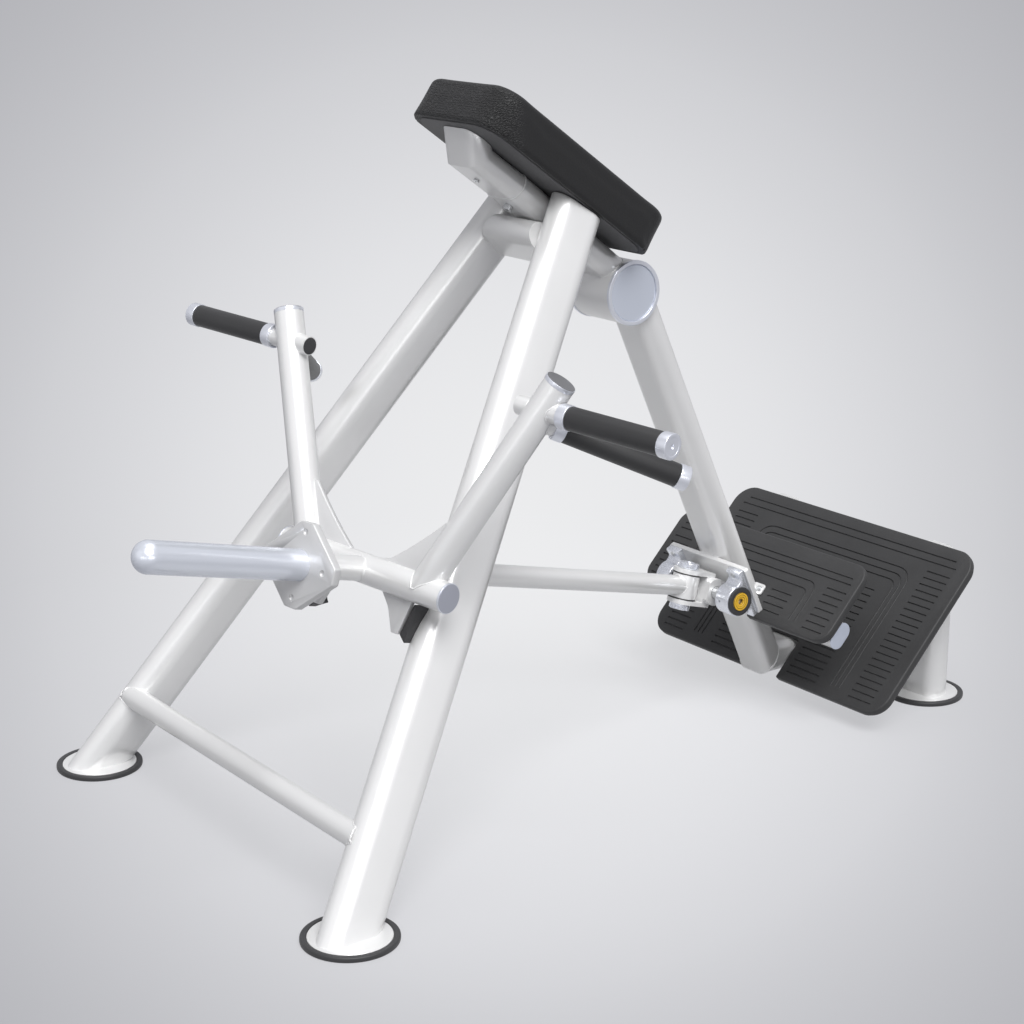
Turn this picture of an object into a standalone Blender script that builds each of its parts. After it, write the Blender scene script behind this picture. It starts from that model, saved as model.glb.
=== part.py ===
"""Incline row machine: a chest-supported lever row with a swinging boom.

Units are metres, +Z is up. The lifting end, with the plate horn, points to -Y and the foot platform
lies at +Y. The frame is the same on both sides of its middle plane. The boom is drawn parked, swung
against the right leg.
"""
import math

import bmesh
import bpy
from mathutils import Matrix, Vector

# Clearances and facets
GAP = 0.0003
WELD = 0.0010
SMOOTH_ANGLE = math.radians(40)
ROUND_SIDES = 20
HUB_SIDES = 32
SMALL_SIDES = 14
HANDLE_SIDES = 16
ARC_STEPS = 4

# Place of the box's bottom centre, seen from the middle of the front feet
ORIGIN_X = 0.1016
ORIGIN_Y = 0.6654

# Flat-oval frame tube and its lighter sort
TUBE_WIDTH = 0.100
TUBE_DEPTH = 0.060
BEAM_DEPTH = 0.050
TUBE_WALL = 0.003

# Feet
FOOT_RADIUS = 0.0795
FOOT_HEIGHT = 0.0095
FOOT_RIM = 0.0110
FOOT_FLOOR = 0.0030
FOOT_ROUND = 0.0020
DISC_THICKNESS = 0.0055
FRONT_FOOT_X = 0.4360
REAR_FOOT_X = 0.2200
REAR_FOOT_Y = 1.5210

# Front legs: run of the axis for each metre of height
LEG_START = (0.4373, -0.0063)
LEG_LEAN_IN = 0.3384
LEG_LEAN_BACK = 0.6903
LEG_TOP_CLEAR = 0.0015

# Low tube between the front legs
STABILISER_Y = 0.0500
STABILISER_Z = 0.1410
STABILISER_RADIUS = 0.0207

# Chest pad: slope, the underside of its board, and its outline
PAD_ANGLE = math.radians(35.2)
PAD_CENTRE = (0.6705, 1.0802)
PAD_LENGTH = 0.4300
PAD_WIDTH = 0.2500
PAD_CORNER = 0.0450
PAD_BOARD = 0.0120
PAD_BOARD_INSET = 0.0040
PAD_CUSHION = 0.0640
PAD_EDGE_ROUND = 0.0140
PAD_CROWN = 0.0060
PAD_TUCK = 0.0060
PAD_BOLT_STEPS = (0.0970, 0.0100)
PAD_BOLT_HEAD = 0.0060
PAD_BOLT_HEIGHT = 0.0060

# Pad beam: up-turned front end and the bend behind it, as distances in front of the pad's centre
BEAM_NOSE_TURN = math.radians(47)
BEAM_NOSE_AHEAD = 0.1425
BEAM_BEND_AHEAD = 0.0365
BEAM_REAR_ANGLE = math.radians(39.0)
CROSS_TUBE_BEHIND = 0.0730

# Hub behind the pad
HUB_Y = 0.8700
HUB_Z = 0.8730
HUB_RADIUS = 0.0585
HUB_HALF = 0.0540
HUB_WALL = 0.0050
HUB_CAP_PROUD = 0.0070
HUB_CAP_RIM = 0.0110
HUB_CAP_RECESS = 0.0035
CAP_PLUG = 0.0120
CAP_LIP = 0.0015

# Rear column and the base rail
COLUMN_LEAN = math.radians(24.65)
COLUMN_BEHIND_HUB = 0.0290
COLUMN_TOP = 0.0250
RAIL_Z = 0.0640
MEMBER_RADIUS = 0.0280

# Foot platform: top edge of its upper face, slope and outline
PLATFORM_TOP = (1.5278, 0.3212)
PLATFORM_ANGLE = math.radians(46.26)
PLATFORM_WIDTH = 0.6780
PLATFORM_LENGTH = 0.3840
PLATFORM_CORNER = 0.0450
MAT_THICKNESS = 0.0150
MAT_BEVEL = 0.0030
PANEL_THICKNESS = 0.0050
PANEL_INSET = 0.0040
SLOT_CLEAR = 0.0040
SLOT_CORNER = 0.0060

# Small step in front of the platform, parallel to it
STEP_RISE = 0.1650
STEP_DOWN = 0.1580
STEP_WIDTH = 0.5360
STEP_LENGTH = 0.1780
STEP_CORNER = 0.0320
ARM_LONG = 0.0700
ARM_SHORT = 0.0350
ARM_DOWN = 0.1450
ARM_REACH = 0.2620
TAB_LENGTH = 0.0360
TAB_WIDTH = 0.0300
TAB_THICKNESS = 0.0040

# Pivot on the column: bearing plate, pillow blocks and axle
AXLE_Z = 0.2495
AXLE_RADIUS = 0.0125
AXLE_STANDOFF = 0.0324
BEARING_PLATE_HALF = 0.1120
BEARING_PLATE_HEIGHT = 0.1060
BEARING_PLATE_THICKNESS = 0.0100
BEARING_PLATE_CORNER = 0.0060
BLOCK_WIDTH = 0.0360
BLOCK_OUTER = 0.1070
BLOCK_RADIUS = 0.0310
BLOCK_EAR = 0.0130
BLOCK_EAR_ROOT = 0.0330
BLOCK_BORE = 0.0250
RING_WIDTH = 0.0180
SEAL_RADIUS = 0.0285
SEAL_WIDTH = 0.0050
COVER_RADIUS = 0.0205
COVER_PROUD = 0.0010
COVER_HOLE = 0.0040
BLOCK_BOLT_HEAD = 0.0095
BLOCK_BOLT_HEIGHT = 0.0070
BLOCK_BOLT_SPAN = 0.0440

# Yoke, kingpin and the boom's sleeve
BOOM_RISE = math.radians(15.83)
BOOM_PARK = math.radians(11.84)
YOKE_REACH = 0.0500
YOKE_WIDTH = 0.0560
YOKE_EAR = 0.0085
YOKE_WEB_CLEAR = 0.0030
YOKE_BARREL_RADIUS = 0.0270
YOKE_BARREL_CLEAR = 0.0040
SLEEVE_RADIUS = 0.0265
SLEEVE_HEIGHT = 0.0470
WASHER_RADIUS = 0.0275
WASHER_THICKNESS = 0.0020
KINGPIN_RADIUS = 0.0100
KINGPIN_HEAD_RADIUS = 0.0205
KINGPIN_HEAD = 0.0120
BUSH_WALL = 0.0030

# Boom, cross tube and arms, from the kingpin
BOOM_RADIUS = 0.0199
BOOM_LENGTH = 0.9130
ROUND_WALL = 0.0030
CROSS_RADIUS = 0.0245
CROSS_HALF = 0.1850
VENT_RADIUS = 0.0060
CAP_THICKNESS = 0.0030
ARM_RADIUS = 0.0240
ARM_FOOT = 0.1300
ARM_SPREAD = 0.1785
ARM_RISE = 0.3770
ARM_BACK = 0.0060

# Handles on the arms
BAR_RADIUS = 0.0160
GRIP_RADIUS = 0.0192
COLLAR_RADIUS = 0.0205
COLLAR_LENGTH = 0.0180
COLLAR_END_WALL = 0.0060
COLLAR_DIMPLE = 0.0030
COLLAR_LIP = 0.0010
WIDE_RISE = 0.3270
WIDE_INNER = 0.2470
WIDE_GRIP_START = 0.3430
WIDE_GRIP_LENGTH = 0.1790
ANGLED_RISE = 0.3113
ANGLED_SWEEP = math.radians(53.4)
ANGLED_DROP = math.radians(9.5)
ANGLED_GRIP_START = 0.0560
ANGLED_GRIP_LENGTH = 0.1980

# Gussets, stop wings and their rubbers, all in the plane of the arms
GUSSET_AHEAD = 0.9100
GUSSET_THICKNESS = 0.0080
GUSSET_ARC_START = math.radians(10)
GUSSET_ARC_RADIUS = 0.1660
GUSSET_TOP = 0.1400
WING_THICKNESS = 0.0100
WING_DROP = 0.0840
WING_TIP_IN = 0.0850
WING_TIP_OUT = 0.0990
WING_ROOT_IN = 0.0380
WING_ROOT_OUT = 0.1180
WING_HOLLOW = 0.0060
STOP_TOP = 0.0290
STOP_WIDTH = 0.0280
STOP_SLANT = 0.0110
STOP_FRONT = 0.0080
STOP_BACK = 0.0260

# Plate horn
NOSE_RADIUS = 0.0210
FLANGE_BACK = 1.0520
FLANGE_THICKNESS = 0.0140
FLANGE_REACH = 0.0760
FLANGE_BLUNT = 0.0130
FLANGE_BEVEL = 0.0015
FLANGE_HOLE = 0.0055
FLANGE_HOLE_REACH = 0.0540
HORN_RADIUS = 0.0250
HORN_LENGTH = 0.3440
HORN_DOME = 0.0200

# Colour, roughness and metallic value of each material
FINISHES = {
    "silver_paint": ((0.72, 0.73, 0.74), 0.38, 0.30),
    "satin_alloy": ((0.66, 0.69, 0.76), 0.30, 0.80),
    "cast_alloy": ((0.62, 0.65, 0.70), 0.34, 0.85),
    "black_rubber": ((0.020, 0.020, 0.022), 0.62, 0.0),
    "mat_rubber": ((0.045, 0.046, 0.048), 0.66, 0.0),
    "pad_leather": ((0.022, 0.022, 0.024), 0.48, 0.0),
    "board_black": ((0.030, 0.030, 0.030), 0.60, 0.0),
    "panel_black": ((0.035, 0.035, 0.036), 0.50, 0.0),
    "amber_plastic": ((0.72, 0.42, 0.04), 0.42, 0.0),
    "bronze": ((0.55, 0.38, 0.18), 0.35, 0.90),
    "zinc": ((0.58, 0.59, 0.60), 0.35, 0.85),
}


def clear_scene():
    """Empty the scene before modelling."""
    for obj in list(bpy.data.objects):
        bpy.data.objects.remove(obj, do_unlink=True)


def make_material(name):
    """Return the named material, made on first use."""
    material = bpy.data.materials.get(name)
    if material:
        return material
    colour, roughness, metallic = FINISHES[name]
    material = bpy.data.materials.new(name)
    material.use_nodes = True
    shader = material.node_tree.nodes["Principled BSDF"]
    shader.inputs["Base Color"].default_value = (*colour, 1.0)
    shader.inputs["Roughness"].default_value = roughness
    shader.inputs["Metallic"].default_value = metallic
    return material


def make_empty(name, location, rotation=(0.0, 0.0, 0.0), parent=None):
    """Place an empty that carries a group of pieces."""
    empty = bpy.data.objects.new(name, None)
    bpy.context.scene.collection.objects.link(empty)
    empty.location = location
    empty.rotation_euler = rotation
    empty.parent = parent
    return empty


def add_object(name, bm, finish, parent, matrix=None):
    """Turn a bmesh into a named object under its parent."""
    bmesh.ops.recalc_face_normals(bm, faces=bm.faces)
    mesh = bpy.data.meshes.new(name)
    bm.to_mesh(mesh)
    bm.free()
    mesh.shade_smooth()
    mesh.set_sharp_from_angle(angle=SMOOTH_ANGLE)
    obj = bpy.data.objects.new(name, mesh)
    bpy.context.scene.collection.objects.link(obj)
    if finish:
        mesh.materials.append(make_material(finish))
    obj.parent = parent
    if matrix:
        obj.matrix_local = matrix
    return obj


def make_cutter(name, bm, parent, matrix=None):
    """Add a hidden shape that other pieces are cut with."""
    cutter = add_object("cutter_" + name, bm, None, parent, matrix)
    cutter.hide_render = True
    cutter.display_type = "WIRE"
    return cutter


def boolean(obj, other, operation):
    """Join or cut one object with another, exactly."""
    modifier = obj.modifiers.new(operation.lower() + "_" + other.name, "BOOLEAN")
    modifier.operation = operation
    modifier.solver = "EXACT"
    modifier.object = other


def cut(obj, *cutters):
    """Take each cutter away from the object."""
    for cutter in cutters:
        boolean(obj, cutter, "DIFFERENCE")


def weld(obj, *others):
    """Join each other shape to the object."""
    for other in others:
        boolean(obj, other, "UNION")


def bevel(obj, width, segments=1, angle=math.radians(50)):
    """Round the object's sharp edges."""
    modifier = obj.modifiers.new("bevel", "BEVEL")
    modifier.width = width
    modifier.segments = segments
    modifier.limit_method = "ANGLE"
    modifier.angle_limit = angle
    modifier.use_clamp_overlap = True


def circle_points(radius, sides, turn=0.0):
    """Points of a circle, as (x, y)."""
    step = math.tau / sides
    return [(radius * math.cos(turn + i * step), radius * math.sin(turn + i * step)) for i in range(sides)]


def arc_points(centre, radius, start, end, steps):
    """Points along an arc from one angle to another, ends included."""
    angles = [start + (end - start) * i / steps for i in range(steps + 1)]
    return [(centre[0] + radius * math.cos(a), centre[1] + radius * math.sin(a)) for a in angles]


def flat_oval(width, depth, steps=ARC_STEPS):
    """Outline of a flat-oval tube, its width along the first axis."""
    radius = min(width, depth) / 2
    half = (width - depth) / 2
    right = arc_points((half, 0), radius, -math.pi / 2, math.pi / 2, steps)
    left = arc_points((-half, 0), radius, math.pi / 2, 3 * math.pi / 2, steps)
    return right + left


def rounded_rectangle(width, length, radius, steps=ARC_STEPS):
    """Outline of a rectangle round its own centre with rounded corners."""
    x, y = width / 2 - radius, length / 2 - radius
    corners = ((x, y, 0.0), (-x, y, 0.25), (-x, -y, 0.5), (x, -y, 0.75))
    points = []
    for cx, cy, turn in corners:
        start = turn * math.tau
        points += arc_points((cx, cy), radius, start, start + math.pi / 2, steps)
    return points


def add_ring(bm, points):
    """Add the points as vertices."""
    return [bm.verts.new(point) for point in points]


def skin(bm, ring_a, ring_b):
    """Join two rings of as many vertices with quads."""
    count = len(ring_a)
    for i in range(count):
        j = (i + 1) % count
        bm.faces.new((ring_a[i], ring_a[j], ring_b[j], ring_b[i]))


def prism(outline, low, high):
    """Solid between two heights over an outline."""
    bm = bmesh.new()
    floor = add_ring(bm, [(x, y, low) for x, y in outline])
    roof = add_ring(bm, [(x, y, high) for x, y in outline])
    skin(bm, floor, roof)
    bm.faces.new(floor)
    bm.faces.new(roof)
    return bm


def turned(profile, sides=ROUND_SIDES):
    """Solid of revolution round Z from (radius, height) points. A closed ring repeats its first point."""
    bm = bmesh.new()
    verts = [bm.verts.new((radius, 0.0, height)) for radius, height in profile]
    edges = [bm.edges.new((verts[i], verts[i + 1])) for i in range(len(verts) - 1)]
    bmesh.ops.spin(bm, geom=verts + edges, cent=(0, 0, 0), axis=(0, 0, 1), angle=math.tau, steps=sides)
    bmesh.ops.remove_doubles(bm, verts=bm.verts, dist=0.00002)
    return bm


def rod(radius, half, sides=ROUND_SIDES):
    """Plain rod round Z, centred on the origin."""
    return turned([(0.0, -half), (radius, -half), (radius, half), (0.0, half)], sides)


def ring_profile(inner, outer, low, high, chamfer=0.0):
    """Section of a plain ring, with its outer corners chamfered."""
    return [
        (inner, low), (outer - chamfer, low), (outer, low + chamfer),
        (outer, high - chamfer), (outer - chamfer, high), (inner, high), (inner, low),
    ]


def frame_matrix(origin, x_axis, y_axis, z_axis):
    """Matrix that carries local axes to the given directions."""
    matrix = Matrix((x_axis, y_axis, z_axis)).transposed().to_4x4()
    matrix.translation = origin
    return matrix


def aim(origin, direction, side):
    """Matrix whose Z runs along a direction and whose X leans towards the side."""
    z_axis = Vector(direction).normalized()
    x_axis = (Vector(side) - z_axis * z_axis.dot(Vector(side))).normalized()
    return frame_matrix(Vector(origin), x_axis, z_axis.cross(x_axis), z_axis)


def slide_to_plane(point, direction, plane):
    """Move a point along a direction until it lies on a plane (point, normal)."""
    origin, normal = Vector(plane[0]), Vector(plane[1])
    return point + direction * ((origin - point).dot(normal) / direction.dot(normal))


def sweep_rings(bm, path, side, outline, planes):
    """Rings of an outline along a path of straight runs, mitred at its bends."""
    points = [Vector(p) for p in path]
    runs = [(b - a).normalized() for a, b in zip(points, points[1:])]
    rings = []
    for i, plane in enumerate(planes):
        run = runs[min(i, len(runs) - 1)]
        x_axis = (Vector(side) - run * run.dot(Vector(side))).normalized()
        y_axis = run.cross(x_axis)
        corners = [points[i] + x_axis * x + y_axis * y for x, y in outline]
        rings.append(add_ring(bm, [slide_to_plane(corner, run, plane) for corner in corners]))
    for ring_a, ring_b in zip(rings, rings[1:]):
        skin(bm, ring_a, ring_b)
    return rings[0], rings[-1]


def tube(path, side, section, wall=0.0, start_plane=None, end_plane=None, grow=0.0, end_plate=0.0):
    """Tube along a path. Section is a function that gives its outline for a growth outwards.

    Without a wall it is solid. With an end plate the last end is closed by a plate of that thickness.
    """
    points = [Vector(p) for p in path]
    runs = [(b - a).normalized() for a, b in zip(points, points[1:])]
    planes = [start_plane or (points[0], runs[0])]
    planes += [(points[i], (runs[i - 1] + runs[i])) for i in range(1, len(points) - 1)]
    planes.append(end_plane or (points[-1], runs[-1]))
    bm = bmesh.new()
    first, last = sweep_rings(bm, path, side, section(grow), planes)
    if wall:
        last_point, last_normal = planes[-1]
        planes[-1] = (last_point - runs[-1] * end_plate, last_normal)
        first_in, last_in = sweep_rings(bm, path, side, section(-wall), planes)
        skin(bm, first, first_in)
    else:
        bm.faces.new(first)
    if wall and end_plate:
        bm.faces.new(last_in)
        bm.faces.new(last)
    elif wall:
        skin(bm, last, last_in)
    else:
        bm.faces.new(last)
    return bm


def oval_section(width, depth):
    """Section function of a flat-oval tube."""
    return lambda grow: flat_oval(width + 2 * grow, depth + 2 * grow)


def round_section(radius, sides=ROUND_SIDES):
    """Section function of a round tube."""
    return lambda grow: circle_points(radius + grow, sides)


SIDES = (("right", 1), ("left", -1))
X_AXIS = Vector((1.0, 0.0, 0.0))
Y_AXIS = Vector((0.0, 1.0, 0.0))
Z_AXIS = Vector((0.0, 0.0, 1.0))

# Directions of the sloping parts, in the middle plane
PAD_DOWN = Vector((0.0, math.cos(PAD_ANGLE), -math.sin(PAD_ANGLE)))
PAD_NORMAL = Vector((0.0, math.sin(PAD_ANGLE), math.cos(PAD_ANGLE)))
PAD_SEAT = Vector((0.0, *PAD_CENTRE))
BEAM_DOWN = Vector((0.0, math.cos(BEAM_REAR_ANGLE), -math.sin(BEAM_REAR_ANGLE)))
BEAM_NORMAL = Vector((0.0, math.sin(BEAM_REAR_ANGLE), math.cos(BEAM_REAR_ANGLE)))
COLUMN_UP = Vector((0.0, -math.sin(COLUMN_LEAN), math.cos(COLUMN_LEAN)))
COLUMN_FRONT = Vector((0.0, -math.cos(COLUMN_LEAN), -math.sin(COLUMN_LEAN)))
PLATFORM_DOWN = Vector((0.0, -math.cos(PLATFORM_ANGLE), -math.sin(PLATFORM_ANGLE)))
PLATFORM_NORMAL = Vector((0.0, -math.sin(PLATFORM_ANGLE), math.cos(PLATFORM_ANGLE)))


def leg_point(side, height):
    """Point of a front leg's axis at a height."""
    x = LEG_START[0] - LEG_LEAN_IN * height
    y = LEG_START[1] + LEG_LEAN_BACK * height
    return Vector((side * x, y, height))


def leg_tube(side, wall, grow):
    """Front leg from its foot disc to the pad's underside."""
    low = (Vector((0.0, 0.0, disc_top() - WELD - grow)), Z_AXIS)
    high = (PAD_SEAT - PAD_NORMAL * (LEG_TOP_CLEAR - grow), PAD_NORMAL)
    path = (leg_point(side, 0.0), leg_point(side, PAD_SEAT.z))
    return tube(path, Y_AXIS, oval_section(TUBE_WIDTH, TUBE_DEPTH), wall, low, high, grow)


def disc_top():
    """Height of a foot disc's upper face."""
    return FOOT_FLOOR + GAP + DISC_THICKNESS


def build_foot(name, x, y, root):
    """Rubber foot with a raised rim. Returns the steel disc that stands in it, for welding on."""
    inner = FOOT_RADIUS - FOOT_RIM
    lip = FOOT_ROUND
    place = Matrix.Translation((x, y, 0.0))
    rubber = [
        (0.0, 0.0), (FOOT_RADIUS - lip, 0.0), (FOOT_RADIUS, lip), (FOOT_RADIUS, FOOT_HEIGHT - lip),
        (FOOT_RADIUS - lip, FOOT_HEIGHT), (inner + lip, FOOT_HEIGHT), (inner, FOOT_HEIGHT - lip),
        (inner, FOOT_FLOOR), (0.0, FOOT_FLOOR),
    ]
    add_object("foot_rubber_" + name, turned(rubber), "black_rubber", root, place)
    low, high = FOOT_FLOOR + GAP, disc_top()
    disc = [(0.0, low), (inner - GAP, low), (inner - GAP, high), (0.0, high)]
    return make_cutter("foot_disc_" + name, turned(disc), root, place)


def build_legs(root):
    """Splayed front legs and the low tube between them. Returns cutters of the legs' outer shape."""
    cutters = []
    for name, side in SIDES:
        leg = add_object("front_leg_" + name, leg_tube(side, TUBE_WALL, 0.0), "silver_paint", root)
        weld(leg, build_foot("front_" + name, side * FRONT_FOOT_X, 0.0, root))
        cutters.append(make_cutter("leg_" + name, leg_tube(side, 0.0, GAP), root))
    half = leg_point(1, STABILISER_Z).x
    ends = [Vector((side * half, STABILISER_Y, STABILISER_Z)) for side in (-1, 1)]
    bar = add_object(
        "stabiliser_tube", tube(ends, Z_AXIS, round_section(STABILISER_RADIUS), ROUND_WALL),
        "silver_paint", root,
    )
    cut(bar, *cutters)
    return cutters


def beam_bend():
    """Point of the beam's axis where its rear run leaves the pad."""
    return PAD_SEAT - PAD_DOWN * BEAM_BEND_AHEAD - PAD_NORMAL * (GAP + BEAM_DEPTH / 2)


def build_beam(root, leg_cutters, hub_cutter):
    """Pad beam with its up-turned nose, and the cross tube between the leg tops."""
    nose_under = PAD_SEAT - PAD_DOWN * BEAM_NOSE_AHEAD - PAD_NORMAL * (GAP + BEAM_DEPTH)
    nose_run = (-PAD_DOWN * math.cos(BEAM_NOSE_TURN) + PAD_NORMAL * math.sin(BEAM_NOSE_TURN)).normalized()
    half_turn = math.tan(BEAM_NOSE_TURN / 2)
    corner = nose_under + PAD_NORMAL * BEAM_DEPTH / 2 + PAD_DOWN * half_turn * BEAM_DEPTH / 2
    top_plane = (PAD_SEAT - PAD_NORMAL * GAP, PAD_NORMAL)
    hub = Vector((0.0, HUB_Y, HUB_Z))
    bend = beam_bend()
    reach = (hub - bend).dot(BEAM_DOWN)
    path = (corner + nose_run * BEAM_DEPTH, corner, bend, bend + BEAM_DOWN * reach)
    beam = add_object(
        "pad_beam", tube(path, X_AXIS, oval_section(TUBE_WIDTH, BEAM_DEPTH), TUBE_WALL, top_plane),
        "silver_paint", root,
    )
    cut(beam, hub_cutter)
    middle = bend + BEAM_DOWN * CROSS_TUBE_BEHIND - BEAM_NORMAL * (BEAM_DEPTH + GAP)
    half = leg_point(1, middle.z).x
    ends = (middle - X_AXIS * half, middle + X_AXIS * half)
    cross = add_object(
        "top_cross_tube", tube(ends, BEAM_DOWN, oval_section(TUBE_WIDTH, BEAM_DEPTH), TUBE_WALL),
        "silver_paint", root,
    )
    cut(cross, *leg_cutters)


def build_hub(root):
    """Large round tube behind the pad with its two disc caps. Returns a cutter of its outer shape."""
    centre = Vector((0.0, HUB_Y, HUB_Z))
    ends = (centre - X_AXIS * HUB_HALF, centre + X_AXIS * HUB_HALF)
    section = round_section(HUB_RADIUS, HUB_SIDES)
    add_object("hub_tube", tube(ends, Y_AXIS, section, HUB_WALL), "silver_paint", root)
    bore, outer, lip = HUB_RADIUS - HUB_WALL - GAP, HUB_RADIUS + CAP_LIP, CAP_LIP
    floor = HUB_CAP_PROUD - HUB_CAP_RECESS
    cap = [
        (0.0, -CAP_PLUG), (bore, -CAP_PLUG), (bore, GAP), (outer, GAP), (outer, HUB_CAP_PROUD - lip),
        (outer - lip, HUB_CAP_PROUD), (outer - HUB_CAP_RIM, HUB_CAP_PROUD),
        (outer - HUB_CAP_RIM - lip, floor), (0.0, floor),
    ]
    for name, side in SIDES:
        place = aim(centre + X_AXIS * side * HUB_HALF, X_AXIS * side, Y_AXIS)
        add_object("hub_cap_" + name, turned(cap, HUB_SIDES), "satin_alloy", root, place)
    return make_cutter("hub", tube(ends, Y_AXIS, section, 0.0, grow=GAP), root)


def column_point(height):
    """Point of the rear column's axis at a height."""
    hub_side = Vector((0.0, HUB_Y, HUB_Z)) - COLUMN_FRONT * COLUMN_BEHIND_HUB
    return hub_side + COLUMN_UP * ((height - hub_side.z) / COLUMN_UP.z)


def build_column(root, hub_cutter):
    """Rear column, its base rail, the rear cross member and the two posts. Returns the column's cutter."""
    corner = column_point(RAIL_Z)
    top = column_point(HUB_Z - COLUMN_TOP)
    mitre = (Y_AXIS - COLUMN_UP).normalized()
    section = oval_section(TUBE_WIDTH, TUBE_DEPTH)
    path = (top, corner)
    column = add_object(
        "rear_column", tube(path, X_AXIS, section, TUBE_WALL, None, (corner - mitre * GAP / 2, mitre)),
        "silver_paint", root,
    )
    cut(column, hub_cutter)
    cutter = make_cutter("column", tube(path, X_AXIS, section, grow=GAP), root)
    rear = Vector((0.0, REAR_FOOT_Y, RAIL_Z))
    member_ends = (rear - X_AXIS * REAR_FOOT_X, rear + X_AXIS * REAR_FOOT_X)
    member = make_cutter(
        "rear_member", tube(member_ends, Z_AXIS, round_section(MEMBER_RADIUS), TUBE_WALL), root
    )
    rail = add_object(
        "base_rail", tube((corner, rear), X_AXIS, section, TUBE_WALL, (corner + mitre * GAP / 2, mitre)),
        "silver_paint", root,
    )
    weld(rail, member)
    under = platform_point(0.0, -(MAT_THICKNESS + PANEL_THICKNESS + 2 * GAP))
    for name, side in SIDES:
        foot = Vector((side * REAR_FOOT_X, REAR_FOOT_Y, disc_top() - WELD))
        ends = (foot, foot + Z_AXIS * PLATFORM_TOP[1])
        roof = (under, PLATFORM_NORMAL)
        post = add_object(
            "rear_post_" + name, tube(ends, X_AXIS, section, TUBE_WALL, None, roof), "silver_paint", root
        )
        weld(post, build_foot("rear_" + name, side * REAR_FOOT_X, REAR_FOOT_Y, root))
        cut(rail, make_cutter("post_" + name, tube(ends, X_AXIS, section, grow=GAP), root))
    return column, cutter


def platform_point(down, rise):
    """Point in the middle plane, down from the platform's top edge and above its upper face."""
    return Vector((0.0, *PLATFORM_TOP)) + PLATFORM_DOWN * down + PLATFORM_NORMAL * rise


def notched_plate(width, length, corner, slot_depth, inset=0.0):
    """Outline of a plate with rounded corners and a slot for the column in its lower edge."""
    x, y = width / 2 - inset, length / 2 - inset
    radius = corner - inset
    slot = TUBE_WIDTH / 2 + SLOT_CLEAR + inset
    slot_end = slot_depth - length / 2 + inset
    turn = SLOT_CORNER
    points = arc_points((x - radius, -y + radius), radius, -math.pi / 2, 0.0, ARC_STEPS)
    points += arc_points((x - radius, y - radius), radius, 0.0, math.pi / 2, ARC_STEPS)
    points += arc_points((-x + radius, y - radius), radius, math.pi / 2, math.pi, ARC_STEPS)
    points += arc_points((-x + radius, -y + radius), radius, math.pi, 1.5 * math.pi, ARC_STEPS)
    points.append((-slot, -y))
    points += arc_points((-slot + turn, slot_end - turn), turn, math.pi, math.pi / 2, 3)
    points += arc_points((slot - turn, slot_end - turn), turn, math.pi / 2, 0.0, 3)
    points.append((slot, -y))
    return points


def build_foot_plate(name, root, down, rise, width, length, corner, slot_depth):
    """Rubber mat with its steel panel underneath."""
    matrix = frame_matrix(
        platform_point(down + length / 2, rise), X_AXIS, -PLATFORM_DOWN, PLATFORM_NORMAL
    )
    outline = notched_plate(width, length, corner, slot_depth)
    mat = add_object(name + "_mat", prism(outline, -MAT_THICKNESS, 0.0), "mat_rubber", root, matrix)
    bevel(mat, MAT_BEVEL, 2)
    outline = notched_plate(width, length, corner, slot_depth, PANEL_INSET)
    roof = -MAT_THICKNESS - GAP
    add_object(
        name + "_panel", prism(outline, roof - PANEL_THICKNESS, roof), "panel_black", root, matrix
    )


def slot_length(edge, surface_normal, surface):
    """Slot length up from a plate's lower edge to where a plane cuts the plate."""
    return (surface - edge).dot(surface_normal) / (-PLATFORM_DOWN).dot(surface_normal)


def build_platform(root, column, column_cutter):
    """Large foot platform, the small step in front of it, and the arms and tabs that hold the step."""
    depth = MAT_THICKNESS + PANEL_THICKNESS + GAP
    clear = SLOT_CLEAR / 2
    under_edge = platform_point(PLATFORM_LENGTH, -depth)
    rail_top = Vector((0.0, 0.0, RAIL_Z + TUBE_DEPTH / 2 + clear))
    slot = slot_length(under_edge, Z_AXIS, rail_top)
    build_foot_plate(
        "platform", root, 0.0, 0.0, PLATFORM_WIDTH, PLATFORM_LENGTH, PLATFORM_CORNER, slot
    )
    step_edge = platform_point(STEP_DOWN + STEP_LENGTH, STEP_RISE)
    column_back = column_point(HUB_Z) - COLUMN_FRONT * (TUBE_DEPTH / 2 + clear)
    slot = slot_length(step_edge, -COLUMN_FRONT, column_back)
    build_foot_plate("step", root, STEP_DOWN, STEP_RISE, STEP_WIDTH, STEP_LENGTH, STEP_CORNER, slot)

    section = oval_section(ARM_LONG, ARM_SHORT)
    for name, side in SIDES:
        rise = STEP_RISE - depth - GAP - ARM_SHORT / 2
        centre = platform_point(STEP_DOWN + ARM_DOWN, rise)
        end = centre + X_AXIS * side * ARM_REACH
        arm_tube = tube((centre, end), PLATFORM_DOWN, section, TUBE_WALL, end_plate=CAP_THICKNESS)
        cut(add_object("step_arm_" + name, arm_tube, "silver_paint", root), column_cutter)
        surface = (platform_point(0.0, STEP_RISE + GAP), PLATFORM_NORMAL)
        middle = slide_to_plane(column_point(HUB_Z), COLUMN_UP, surface)
        root_x = TUBE_WIDTH / 2 - TAB_THICKNESS - WELD
        length = TUBE_WIDTH / 2 + TAB_LENGTH - root_x
        place = frame_matrix(
            middle + X_AXIS * side * (root_x + length / 2), X_AXIS, -PLATFORM_DOWN, PLATFORM_NORMAL
        )
        outline = rounded_rectangle(length, TAB_WIDTH, TAB_THICKNESS)
        weld(column, make_cutter("tab_" + name, prism(outline, 0.0, TAB_THICKNESS), root, place))


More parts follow.
